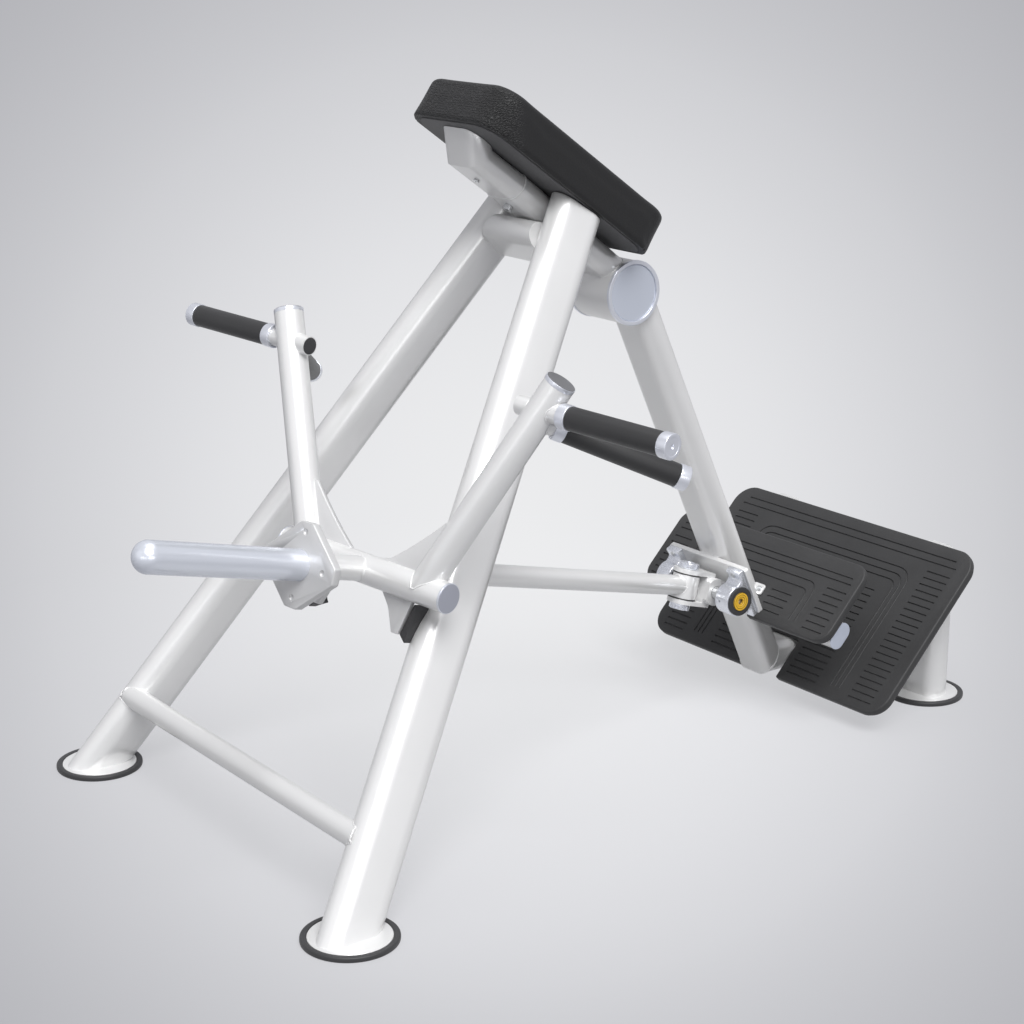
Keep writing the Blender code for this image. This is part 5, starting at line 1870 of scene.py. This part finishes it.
@dataclass
class Boom:
    """Boom tube with its sleeve, the cross tube and the horn at its end."""

    radius: float = 0.0199
    sleeve: Point2 = (0.0265, 0.0470)
    bore: float = 0.0133
    cross: Point2 = (0.0252, 0.1880)
    nose: Point2 = (0.0210, 1.0520)
    flange: tuple[float, float, float, float] = (0.0800, 0.0700, 0.0130, 0.0160)
    hole: Point2 = (0.0055, 0.0540)
    horn: tuple[float, float, float] = (0.0260, 0.3360, 0.0240)

    @property
    def tube(self) -> Bar:
        """Outer form of the boom tube."""
        return Bar(Vector(), Vector((0.0, -PLAN.boom_length, 0.0)), Z, 2 * self.radius, 2 * self.radius)

    @property
    def cross_bar(self) -> Bar:
        """Outer form of the cross tube."""
        middle, radius = Vector((0.0, -PLAN.boom_length, 0.0)), self.cross[0]
        return Bar(middle - X * self.cross[1], middle + X * self.cross[1], Z, 2 * radius, 2 * radius)

    def build(self, welds: Welds) -> None:
        """Makes tube, sleeve, cross tube, flange and horn.

        Args:
            welds: Takes the seams.
        """
        outer, tall = self.sleeve
        tube = Bar(Vector((0.0, -self.bore - 0.004, 0.0)), self.tube.end, Z, 2 * self.radius, 2 * self.radius)
        add_piece("boom_barrel", tube.shape(), PLAN.swing, SILVER, Body.BOOM, ["boom_tube"])
        ring = filleted(
            [(self.bore, -tall / 2), (outer, -tall / 2), (outer, tall / 2), (self.bore, tall / 2)], 0.001,
        )
        add_piece("boom_eye", Shape.turned(ring + ring[:1], 72), PLAN.swing, SILVER, Body.BOOM)
        eye = Bar(Vector((0.0, 0.0, -1.0)), Vector((0.0, 0.0, 1.0)), X, 2 * outer, 2 * outer)
        welds.seam(tube.seam_on(eye, backwards=True))
        cross = self.cross_bar
        radius, half = self.cross
        add_piece(
            "cross_barrel",
            cross.shape(rounding=(0.001, 0.001)),
            PLAN.swing,
            SILVER,
            Body.BOOM,
            ["cross_tube"],
        )
        rim = filleted_ring(radius + 0.0003, -0.0030, 0.0004, 0.0008)
        disc = filleted_ring(radius - 0.0012, -0.0030, 0.0012, 0.0006)
        for name, side in SIDES:
            place = PLAN.swing @ aim(Vector((side * half, -PLAN.boom_length, 0.0)), X * side, Z)
            add_piece("cross_rim_" + name, Shape.turned(rim, 64), place, SATIN, Body.BOOM)
            add_piece("cross_disc_" + name, Shape.turned(disc, 64), place, CAP_DISC, Body.BOOM)
        welds.seam(tube.seam_on(cross))
        self.build_flange(welds, cross)

    def build_flange(self, welds: Welds, cross: Bar) -> None:
        """Makes the nose tube, the diamond flange and the horn.

        Args:
            welds: Takes the seams.
            cross: The cross tube, which the nose is welded to.
        """
        radius, back = self.nose
        nose = Bar(
            Vector((0.0, -PLAN.boom_length, 0.0)),
            Vector((0.0, -back - 0.001, 0.0)),
            Z,
            2 * radius,
            2 * radius,
        )
        add_piece("nose_barrel", nose.shape(), PLAN.swing, SILVER, Body.BOOM)
        welds.seam(nose.seam_on(cross, backwards=True))
        welds.seam(nose.seam_at((Vector((0.0, -back, 0.0)), Y)))
        wide, tall, blunt, thick = self.flange
        corners = [
            (blunt, -tall), (wide, -blunt), (wide, blunt), (blunt, tall),
            (-blunt, tall), (-wide, blunt), (-wide, -blunt), (-blunt, -tall),
        ]
        place = axes(Vector((0.0, -back, 0.0)), X, Z, -Y)
        flange = Shape.slab(filleted(corners, 0.006), 0.0, thick).edged(0.0020, 3)
        drills = []
        for x, z in circle(self.hole[1], 4):
            step = [(0.0, thick - 0.004), (self.hole[0] * 0.55, thick - 0.004), (self.hole[0], thick - 0.001)]
            drill = Shape.turned(step + [(self.hole[0], thick + 0.01), (0.0, thick + 0.01)], 32)
            drills.append(drill.moved(Matrix.Translation((x, z, 0.0))))
        flange = flange.combined("DIFFERENCE", *drills)
        # The flange takes the darker copy of the silver coat: painted shade.
        add_piece("diamond_flange", flange, PLAN.swing @ place, SILVER_PAINTED_SHADE, Body.BOOM, ["horn_flange"])
        radius, length, dome = self.horn
        tip = arc((0.0, 0.0), 1.0, 0.0, math.pi / 2, 14)
        profile = [(0.0, 0.0), (radius, 0.0)]
        profile += [(radius * x, length - dome + dome * y) for x, y in tip[:-1]] + [(0.0, length)]
        start = Vector((0.0, -back - thick - PLAN.gap, 0.0))
        add_piece(
            "horn_sleeve",
            Shape.turned(profile, 96),
            PLAN.swing @ aim(start, -Y, X),
            HORN,
            Body.BOOM,
            ["weight_horn"],
        )


CAP_DISC = TurnedMetal("faced_disc", "satin_alloy", (0.44, 0.455, 0.52), 0.38, 0.50, 3200.0)
# Nearly black satin for the arm end discs: painted reflection of dark surroundings, darker than the metal
# itself.
DARK_REFLECTION_DISC = TurnedMetal("arm_disc_painted_dark_reflection", "satin_alloy", (0.21, 0.21, 0.22), 0.36, 0.50, 3200.0)
HORN = TurnedMetal("horn_alloy", "satin_alloy", (0.76, 0.79, 0.86), 0.26, 0.60, 1800.0)


@dataclass
class Arms:
    """Slanted arms with their end caps and handles; the gussets, stop wings and stop rubbers come from
    Gussets.
    """

    arm_radius: float = 0.0255
    foot: float = 0.1300
    spread: float = 0.1785
    rise: float = 0.3770
    back: float = 0.0060
    bar: float = 0.0160
    grip: float = 0.0192
    collar: Point2 = (0.0205, 0.0180)
    wide: tuple[float, float, float, float] = (0.3270, 0.2395, 0.3440, 0.1790)
    angled: tuple[float, float, float] = (0.3113, 0.0490, 0.1970)
    sweep: Point2 = (math.radians(53.4), math.radians(9.5))

    def point(self, side: int, height: float) -> Vector:
        """Point of an arm's axis at a height over the cross tube."""
        t = height / self.rise
        return Vector((side * (self.foot + self.spread * t), -PLAN.boom_length + self.back * t, height))

    def build(self, welds: Welds, cross: Bar) -> None:
        """Makes both arms and all that is on them.

        Args:
            welds: Takes the seams.
            cross: The cross tube.
        """
        for name, side in SIDES:
            arm = Bar(
                self.point(side, 0.0),
                self.point(side, self.rise),
                X,
                2 * self.arm_radius,
                2 * self.arm_radius,
            )
            add_piece(
                "arm_barrel_" + name,
                arm.shape(rounding=(0.0, 0.0012)),
                PLAN.swing,
                SILVER,
                Body.BOOM,
                ["arm_" + name],
            )
            welds.seam(arm.seam_on(cross, backwards=True))
            lip = self.arm_radius + 0.0002
            rim = filleted_ring(lip, -0.006, 0.0006, 0.0006)
            disc = filleted_ring(lip - 0.0010, -0.006, 0.0014, 0.0005)
            place = PLAN.swing @ aim(arm.end, arm.run, X)
            add_piece("arm_rim_" + name, Shape.turned(rim, 72), place, SATIN, Body.BOOM)
            # The end disc carries the painted dark reflection.
            add_piece("arm_disc_" + name, Shape.turned(disc, 72), place, DARK_REFLECTION_DISC, Body.BOOM)
            self.build_handles(name, side, arm, welds)

    def build_handles(self, name: str, side: int, arm: Bar, welds: Welds) -> None:
        """Makes one arm's two handles.

        Args:
            name: The side's name.
            side: 1 on the right, -1 on the left.
            arm: The arm.
            welds: Takes the seams.
        """
        height, inner, start, length = self.wide
        origin = Vector((side * inner, self.point(side, height).y, height))
        bar = Bar(origin, origin + X * side * (start - inner + length), Z, 2 * self.bar, 2 * self.bar)
        self.build_grip("wide", name, origin, X * side, start - inner, length)
        welds.seam(bar.seam_on(arm, backwards=True))
        stub = Bar(bar.end, bar.start, Z, 2 * self.bar, 2 * self.bar)
        welds.seam(self.inner_seam(stub, arm))
        plug = filleted_ring(self.bar - 0.0014, -0.012, 0.0006, 0.0006)
        place = PLAN.swing @ aim(origin, -X * side, Z)
        add_piece("bar_plug_" + name, Shape.turned(plug, 48), place, BLACK, Body.BOOM)

        height, start, length = self.angled
        turn, drop = self.sweep
        run = Vector(
            (side * math.cos(drop) * math.cos(turn), math.cos(drop) * math.sin(turn), -math.sin(drop))
        )
        origin = self.point(side, height)
        self.build_grip("angled", name, origin, run, start, length)
        bar = Bar(origin, origin + run * (start + length), Z, 2 * self.bar, 2 * self.bar)
        welds.seam(bar.seam_on(arm, backwards=True))

    def inner_seam(self, stub: Bar, arm: Bar) -> list[Vector]:
        """Closed line where the wide bar's inner stub leaves the arm.

        Args:
            stub: The bar, run inwards.
            arm: The arm.

        Returns:
            Points of the line.
        """
        run = stub.run
        up = run.cross(Z).normalized()
        points = []
        for x, y in circle(self.bar, 48):
            points.append(marched(stub.end + Z * x + up * y, -run, arm.distance))
        return points

    def build_grip(
        self, kind: str, name: str, origin: Vector, run: Vector, start: float, length: float,
    ) -> None:
        """Makes one bar with its two collars and its rubber.

        Args:
            kind: wide or angled.
            name: The side's name.
            origin: Start of the bar.
            run: Its direction.
            start: Where the rubber starts.
            length: Length of the rubber.
        """
        place = PLAN.swing @ aim(origin, run, Z)
        end = start + length
        radius, wide = self.collar
        stub = Shape.turned([(0.0, 0.0), (self.bar, 0.0), (self.bar, end), (0.0, end)], 56)
        add_piece(f"{kind}_rod_{name}", stub, place, SILVER, Body.BOOM, [f"{kind}_bar_{name}"])
        inner = filleted([
            (self.bar, start - wide), (radius, start - wide), (radius, start), (self.bar, start),
        ], 0.0012)
        outer = filleted([
            (0.0, end), (radius, end), (radius, end + wide), (radius * 0.74, end + wide),
            (
                radius * 0.72, end + wide - 0.0006,
            ), (0.0036, end + wide - 0.0006), (0.0030, end + wide - 0.0035),
            (0.0, end + wide - 0.0035),
        ], 0.0012, closed=False)
        collars = Shape.turned(inner + inner[:1], 72).joined(Shape.turned(outer, 72))
        add_piece(f"{kind}_collars_{name}", collars, place, SATIN, Body.BOOM)
        sleeve = filleted([
            (self.bar, start + PLAN.gap), (self.grip, start + PLAN.gap), (self.grip, end - PLAN.gap),
            (self.bar, end - PLAN.gap),
        ], 0.0014)
        rubber = Shape.turned(sleeve + sleeve[:1], 72)
        add_piece(f"{kind}_rubber_{name}", rubber, place, GRIP, Body.BOOM, [f"{kind}_grip_{name}"])


@dataclass
class Gussets:
    """Gussets above the cross tube, stop wings below it and their rubbers."""

    cross_radius: float = 0.0245
    ahead: float = 0.9100
    thickness: float = 0.0080
    tip: Point2 = (0.1483, 0.1138)
    end: Point2 = (0.0392, 0.0240)
    bow: float = 0.0033
    edge_steps: int = 24
    wing_thickness: float = 0.0100
    wing: tuple[float, float, float, float, float] = (0.0380, 0.1180, 0.0850, 0.0990, 0.0840)
    hollow: float = 0.0060
    stop: tuple[float, float, float, float] = (0.0290, 0.0130, 0.0050, 0.0110)
    stop_reach: Point2 = (0.0400, -0.0010)

    def build(self, arms: Arms, legs: Sequence[Bar]) -> None:
        """Makes the plates and the rubbers.

        Args:
            arms: The arms that the gussets reach.
            legs: Right and left leg, which the rubbers rest against when parked.
        """
        tip, end = Vector(self.tip), Vector(self.end)
        side_step = Vector((tip.y - end.y, end.x - tip.x)).normalized()
        edge = []
        for i in range(self.edge_steps + 1):
            share = i / self.edge_steps
            point = tip.lerp(end, share) + side_step * (self.bow * 4 * share * (1 - share))
            edge.append((point.x, point.y))
        root = self.cross_radius * 0.6
        gusset = [(end.x, root), (arms.foot, root), (arms.point(1, tip.y).x, tip.y)] + edge
        root_in, root_out, tip_in, tip_out, drop = self.wing
        middle = ((root_in + tip_in) / 2 + self.hollow, -drop * 0.55)
        inner = filleted([(root_in, -root), middle, (tip_in, -drop)], 0.05, False, 10)
        wing = inner + [(tip_out, -drop), (root_out, -root)]
        high, tip, thin, slant = self.stop
        weld_root = self.cross_radius - 0.0020
        lean = (root_out - tip_out) / (drop - weld_root)
        foot = tip_out + PLAN.gap
        head = foot + lean * (drop - high)
        stop = [(foot, -drop), (foot + tip, -drop - slant), (head + thin, -high), (head, -high)]
        place = axes(Vector((0.0, -self.ahead, 0.0)), X, Z, -Y)
        back, ahead = self.stop_reach
        turned = Matrix.Rotation(2 * PLAN.boom_park, 4, "Z")
        plates = []
        for (name, side), leg in zip(SIDES, legs):
            outline = [(side * x, z) for x, z in gusset]
            plates.append(Shape.slab(outline, -self.thickness / 2, self.thickness / 2).edged(0.0012, 2))
            outline = [(side * x, z) for x, z in wing]
            plates.append(
                Shape.slab(outline, -self.wing_thickness / 2, self.wing_thickness / 2).edged(0.0012, 2)
            )
            outline = [(side * x, z) for x, z in stop]
            rubber = Shape.slab(outline, self.wing_thickness / 2 - back, ahead).edged(0.0012, 3).moved(place)
            parked = PLAN.swing.inverted() @ PLAN.row
            rest = parked if side > 0 else turned @ parked
            grown = Bar(leg.start, leg.end, leg.side, leg.width + 2 * PLAN.gap, leg.depth + 2 * PLAN.gap)
            rubber = rubber.combined("DIFFERENCE", grown.shape().moved(rest))
            add_piece("stop_block_" + name, rubber, PLAN.swing, BLACK, Body.BOOM, ["stop_rubber_" + name])
        joined = plates[0].joined(*plates[1:])
        # Gussets and wings take the darker copy of the silver coat: painted shade.
        add_piece("gussets_and_wings", joined, PLAN.swing @ place, SILVER_PAINTED_SHADE, Body.BOOM)


@dataclass
class ChestPad:
    """Chest cushion on its board."""

    width: float = 0.2500
    length: float = 0.4500
    set_back: float = 0.0095
    corner: float = 0.0450
    board: float = 0.0030
    board_inset: float = 0.0110
    height: float = 0.0785
    edge: float = 0.0120
    crown: float = 0.0040
    swell: float = 0.0012
    voxel: float = 0.0042
    quick_voxel: float = 0.008
    stapled_below: float = 0.006
    free_above: float = 0.008
    frames: int = 20

    def build(self) -> None:
        """Makes board and cushion."""
        middle = PLAN.pad_seat + PLAN.pad_down * self.set_back
        place = PLAN.row @ axes(middle, X, -PLAN.pad_down, PLAN.pad_normal)
        inset = 2 * self.board_inset
        outline = rounded_rectangle(self.width - inset, self.length - inset, self.corner, 12)
        board = Shape.slab(outline, 0.0, self.board).edged(0.0008, 2)
        add_piece("pad_backing", board, place, BOARD, Body.FRAME, ["pad_board"], crease=0.0)
        shape = self.stuffed(self.form())
        lift = Matrix.Translation((0.0, 0.0, self.board / 2))
        piece = add_piece("chest_cushion", shape, place @ lift, HIDE, Body.FRAME, ["chest_pad"], crease=80.0)

    def form(self) -> Shape:
        """Cushion before it swells: full width at the foot, rounded at the top edge, slightly crowned."""
        slack = self.swell * 0.6
        tall = self.height - slack
        steps = [(-slack, 0.0), (-slack, 0.0030), (0.0, tall * 0.30), (0.0, tall * 0.60)]
        for i in range(7):
            turn = math.pi / 2 * i / 6
            rise = tall - self.edge + self.edge * math.sin(turn)
            steps.append((self.edge * (1 - math.cos(turn)), rise))
        bm = bmesh.new()
        rows = []
        for inset, level in steps:
            trim = 2 * (inset + slack)
            outline = rounded_rectangle(self.width - trim, self.length - trim, self.corner - inset * 0.5, 12)
            rows.append([bm.verts.new((x, y, level)) for x, y in outline])
        rim = [(vert.co.x, vert.co.y) for vert in rows[-1]]
        for i in range(1, 12):
            share = 1 - i / 12
            level = tall + self.crown * (1 - share ** 2)
            rows.append([bm.verts.new((x * share, y * share, level)) for x, y in rim])
        for low, high in zip(rows, rows[1:]):
            bridge(bm, low, high)
        bm.faces.new(rows[0])
        bm.faces.new(rows[-1])
        return Shape.of(bm)

    def stuffed(self, form: Shape) -> Shape:
        """Cushion after its filling has pushed the cover out.

        Args:
            form: The cushion's slack form.

        Returns:
            The swollen shape.
        """
        draft = shown(form.mesh)
        remesh = draft.modifiers.new("remesh", "REMESH")
        remesh.mode = "VOXEL"
        remesh.voxel_size = self.voxel
        mesh = baked(draft)
        mesh = self.inflated(mesh)
        draft = shown(mesh)
        free = draft.vertex_groups.new(name="free")
        free.add([vert.index for vert in mesh.vertices if vert.co.z > self.free_above], 1.0, "REPLACE")
        smooth = draft.modifiers.new("smooth", "SMOOTH")
        smooth.vertex_group = "free"
        smooth.factor = 0.5
        smooth.iterations = 3
        detail = draft.modifiers.new("detail", "SUBSURF")
        detail.levels = detail.render_levels = 1
        return Shape(baked(draft))

    def inflated(self, mesh: bpy.types.Mesh) -> bpy.types.Mesh:
        """Runs the cloth and caps how far each point may move.

        Args:
            mesh: The remeshed cushion.

        Returns:
            The mesh with its points moved.
        """
        start = [vert.co.copy() for vert in mesh.vertices]
        draft = shown(mesh)
        held = draft.vertex_groups.new(name="stapled")
        held.add([i for i, co in enumerate(start) if co.z < self.stapled_below], 1.0, "REPLACE")
        cloth = draft.modifiers.new("cloth", "CLOTH")
        settings = cloth.settings
        settings.quality = 6
        settings.mass = 0.4
        settings.tension_stiffness = settings.compression_stiffness = 18.0
        settings.bending_stiffness = 2.0
        settings.use_pressure = True
        settings.uniform_pressure_force = 4.0
        settings.vertex_group_mass = "stapled"
        settings.effector_weights.gravity = 0.0
        cloth.collision_settings.use_collision = False
        cloth.point_cache.frame_start, cloth.point_cache.frame_end = 1, self.frames
        scene = bpy.context.scene
        for step in range(1, self.frames + 1):
            scene.frame_set(step)
        graph = bpy.context.evaluated_depsgraph_get()
        moved = [vert.co.copy() for vert in draft.evaluated_get(graph).data.vertices]
        draft.modifiers.remove(cloth)
        for vert, old, new in zip(mesh.vertices, start, moved):
            shift = new - old
            if shift.length > self.swell:
                shift = shift.normalized() * self.swell
            vert.co = old + shift
        scene.frame_set(1)
        bpy.data.objects.remove(draft, do_unlink=True)
        return mesh


@dataclass
class Studio:
    """Pale floor, soft lamps and the camera at the photograph's angle."""

    camera_at: Vector = Vector((3.0368, -1.6154, 1.5704))
    ahead: Vector = Vector((-0.7719, 0.5728, -0.2758))
    right: Vector = Vector((0.5959, 0.8031, 0.0))
    lens: float = 75.77
    fade: Point2 = (0.6, 1.7)
    near_glow: float = 0.72
    lift: float = 1.03
    bounce: float = 0.33
    dome: float = 0.26
    # Painted pool of light: tone by angle from the studio's bright direction, brightest in the middle and
    # darker towards the edges.
    light_pool_tones: tuple[Point2, ...] = (
        (0.0, 0.86), (0.117, 0.80), (0.207, 0.62), (0.267, 0.53), (0.333, 0.43), (0.55, 0.50), (1.0, 0.60),
    )

    def build(self) -> None:
        """Makes camera, floor, world and lamps."""
        self.build_camera()
        self.build_floor()
        self.build_world()
        self.sun("key", (0.66, -0.24, 0.95), 3.1, 40.0)
        self.sun("fill", (-0.15, -0.95, 0.35), 0.15, 50.0)
        self.lamp("right_strip", (3.3, -1.2, 1.2), (0.0, 0.0, 0.6), (0.35, 2.4), 10.0)
        self.lamp("front_strip", (1.6, -3.5, 1.2), (0.0, 0.0, 0.6), (0.35, 2.4), 5.0)
        self.lamp("overhead", (0.2, -0.2, 3.4), (0.0, 0.0, 0.4), (2.0, 2.4), 16.0)

    def build_camera(self) -> None:
        """Makes the camera."""
        data = bpy.data.cameras.new("camera")
        data.lens = self.lens
        data.sensor_width = 36.0
        data.clip_end = 60.0
        camera = bpy.data.objects.new("camera", data)
        bpy.context.scene.collection.objects.link(camera)
        camera.matrix_world = PLAN.row @ aim(self.camera_at, -self.ahead, self.right)
        bpy.context.scene.camera = camera

    def build_floor(self) -> None:
        """Makes the floor: lit round the machine, where it takes the shadow under a partial glow, and beyond
        it glowing alone; the glow and the lit colour carry a painted pool of light.
        """
        bm = bmesh.new()
        rows = [[bm.verts.new((x, y, -0.0002)) for x, y in circle(reach, 96)] for reach in (
            1.5, 4.0, 12.0, 60.0,
        )]
        bm.faces.new(rows[0])
        for low, high in zip(rows, rows[1:]):
            bridge(bm, low, high)
        mesh = bpy.data.meshes.new("floor")
        bm.to_mesh(mesh)
        bm.free()
        floor = bpy.data.objects.new("floor", mesh)
        bpy.context.scene.collection.objects.link(floor)
        wiring = Wiring("studio_floor")
        wiring.set(Roughness=0.7)
        wiring.shader.inputs["Specular IOR Level"].default_value = 0.1
        point = wiring.object_point()
        offset = wiring.node("VectorMath", operation="SUBTRACT")
        offset.inputs[1].default_value = PLAN.row @ self.camera_at
        wiring.join(point, offset.inputs[0])
        tone = self.painted_light_pool(wiring.tree, offset.outputs["Vector"], self.ahead)
        seen = self.seen_rays(wiring.tree)
        level = wiring.node("VectorMath", operation="SCALE")
        wiring.join(tone, level.inputs[0])
        wiring.join(wiring.range(seen, self.bounce, self.lift, (0.0, 1.0)), level.inputs["Scale"])
        wiring.colour(level.outputs["Vector"])
        glow = wiring.node("Emission", {"Strength": 1.0})
        wiring.join(tone, glow.inputs["Color"])
        reach = wiring.node("VectorMath", operation="LENGTH")
        wiring.join(point, reach.inputs[0])
        away = wiring.range(reach.outputs["Value"], self.near_glow, 1.0, self.fade)
        mix = wiring.node("MixShader")
        wiring.join(wiring.math("MULTIPLY", away, seen), mix.inputs["Fac"])
        wiring.join(wiring.shader.outputs[0], mix.inputs[1])
        wiring.join(glow.outputs[0], mix.inputs[2])
        wiring.join(mix.outputs[0], wiring.tree.nodes["Material Output"].inputs["Surface"])
        mesh.materials.append(wiring.material)

    def painted_light_pool(
        self, tree: bpy.types.NodeTree, vector: bpy.types.NodeSocket, axis: Vector,
    ) -> bpy.types.NodeSocket:
        """Painted pool of light for floor and backdrop, brightest along one fixed direction of the studio,
        darker and a little bluer away from it.

        Args:
            tree: The node tree.
            vector: Direction that is looked up.
            axis: Direction of the brightest part.

        Returns:
            The colour socket.
        """
        unit = tree.nodes.new("ShaderNodeVectorMath")
        unit.operation = "NORMALIZE"
        dot = tree.nodes.new("ShaderNodeVectorMath")
        dot.operation = "DOT_PRODUCT"
        dot.inputs[1].default_value = axis
        turn = tree.nodes.new("ShaderNodeMath")
        turn.operation = "ARCCOSINE"
        span = tree.nodes.new("ShaderNodeMapRange")
        span.inputs["From Max"].default_value = math.radians(60.0)
        ramp = tree.nodes.new("ShaderNodeValToRGB")
        ramp.color_ramp.interpolation = "B_SPLINE"
        elements = ramp.color_ramp.elements
        while len(elements) < len(self.light_pool_tones):
            elements.new(0.5)
        for element, (place, level) in zip(elements, self.light_pool_tones):
            element.position = place
            element.color = (level * 0.985, level * 0.99, level * (1.0 + 0.05 * min(1.0, 3.0 * place)), 1.0)
        links = tree.links
        links.new(vector, unit.inputs[0])
        links.new(unit.outputs["Vector"], dot.inputs[0])
        links.new(dot.outputs["Value"], turn.inputs[0])
        links.new(turn.outputs[0], span.inputs["Value"])
        links.new(span.outputs["Result"], ramp.inputs["Fac"])
        return ramp.outputs["Color"]

    def seen_rays(self, tree: bpy.types.NodeTree) -> bpy.types.NodeSocket:
        """One for rays from the camera, from gloss and through glass, and nought for light.

        Args:
            tree: The node tree.

        Returns:
            The value socket.
        """
        path = tree.nodes.new("ShaderNodeLightPath")
        first = tree.nodes.new("ShaderNodeMath")
        second = tree.nodes.new("ShaderNodeMath")
        first.operation = second.operation = "MAXIMUM"
        links = tree.links
        links.new(path.outputs["Is Camera Ray"], first.inputs[0])
        links.new(path.outputs["Is Glossy Ray"], first.inputs[1])
        links.new(first.outputs[0], second.inputs[0])
        links.new(path.outputs["Is Transmission Ray"], second.inputs[1])
        return second.outputs[0]

    def build_world(self) -> None:
        """Makes a pale world that the camera and reflections see, painted with a pool of light, and a dimmer
        one that lights.
        """
        world = bpy.data.worlds.new("studio")
        bpy.context.scene.world = world
        world.use_nodes = True
        tree = world.node_tree
        base = tree.nodes["Background"]
        base.inputs["Color"].default_value = (1.0, 1.0, 1.0, 1.0)
        base.inputs["Strength"].default_value = self.dome
        seen = tree.nodes.new("ShaderNodeBackground")
        seen.inputs["Strength"].default_value = 1.0
        place = tree.nodes.new("ShaderNodeTexCoord")
        mix = tree.nodes.new("ShaderNodeMixShader")
        links = tree.links
        links.new(self.painted_light_pool(tree, place.outputs["Generated"], self.ahead), seen.inputs["Color"])
        links.new(self.seen_rays(tree), mix.inputs["Fac"])
        links.new(base.outputs[0], mix.inputs[1])
        links.new(seen.outputs[0], mix.inputs[2])
        links.new(mix.outputs[0], tree.nodes["World Output"].inputs["Surface"])

    def sun(self, name: str, origin: Sequence[float], power: float, spread: float) -> None:
        """Makes a broad sun.

        Args:
            name: Its name.
            origin: Direction that its light comes from.
            power: Light on a surface that faces it, in watts a square metre.
            spread: Angle of its disc in degrees.
        """
        data = bpy.data.lights.new(name, "SUN")
        data.energy = power
        data.angle = math.radians(spread)
        lamp = bpy.data.objects.new(name, data)
        bpy.context.scene.collection.objects.link(lamp)
        lamp.matrix_world = aim(Vector(origin) * 3.0, Vector(origin), X)

    def lamp(
        self, name: str, place: Sequence[float], target: Sequence[float], size: Point2, power: float,
    ) -> None:
        """Makes a soft area lamp.

        Args:
            name: Its name.
            place: Where it stands, from the frame's origin.
            target: What it points at.
            size: Width and height.
            power: Power in watts.
        """
        data = bpy.data.lights.new(name, "AREA")
        data.shape = "RECTANGLE"
        data.size, data.size_y = size
        data.energy = power
        lamp = bpy.data.objects.new(name, data)
        bpy.context.scene.collection.objects.link(lamp)
        origin = Vector(place)
        lamp.matrix_world = aim(origin, origin - Vector(target), Z if abs(place[2]) < 3 else X)


def main() -> None:
    """Builds the machine and the studio round it."""
    logging.basicConfig(level=logging.INFO, format="%(message)s")
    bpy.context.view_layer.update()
    bpy.context.scene.view_settings.view_transform = "Standard"
    frame_welds, boom_welds = Welds(), Welds()
    Studio().build()
    Feet().build()
    front = FrontFrame()
    front.build(frame_welds)
    PadBeam().build(frame_welds)
    Hub().build()
    RearFrame().build(frame_welds)
    Platform().build()
    Bearings().build(frame_welds)
    Yoke().build()
    boom = Boom()
    boom.build(boom_welds)
    arms = Arms()
    arms.build(boom_welds, boom.cross_bar)
    Gussets().build(arms, [front.leg(1), front.leg(-1)])
    ChestPad().build()
    frame_welds.add("frame_weld_beads", PLAN.row, Body.FRAME)
    boom_welds.add("boom_weld_beads", PLAN.swing, Body.BOOM)
    for node, finish in (("pivot_axle", PLATED), ("sleeve_bush", BRONZE)):
        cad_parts[node].data.materials[0] = finish.material()


if __name__ == "__main__":
    main()
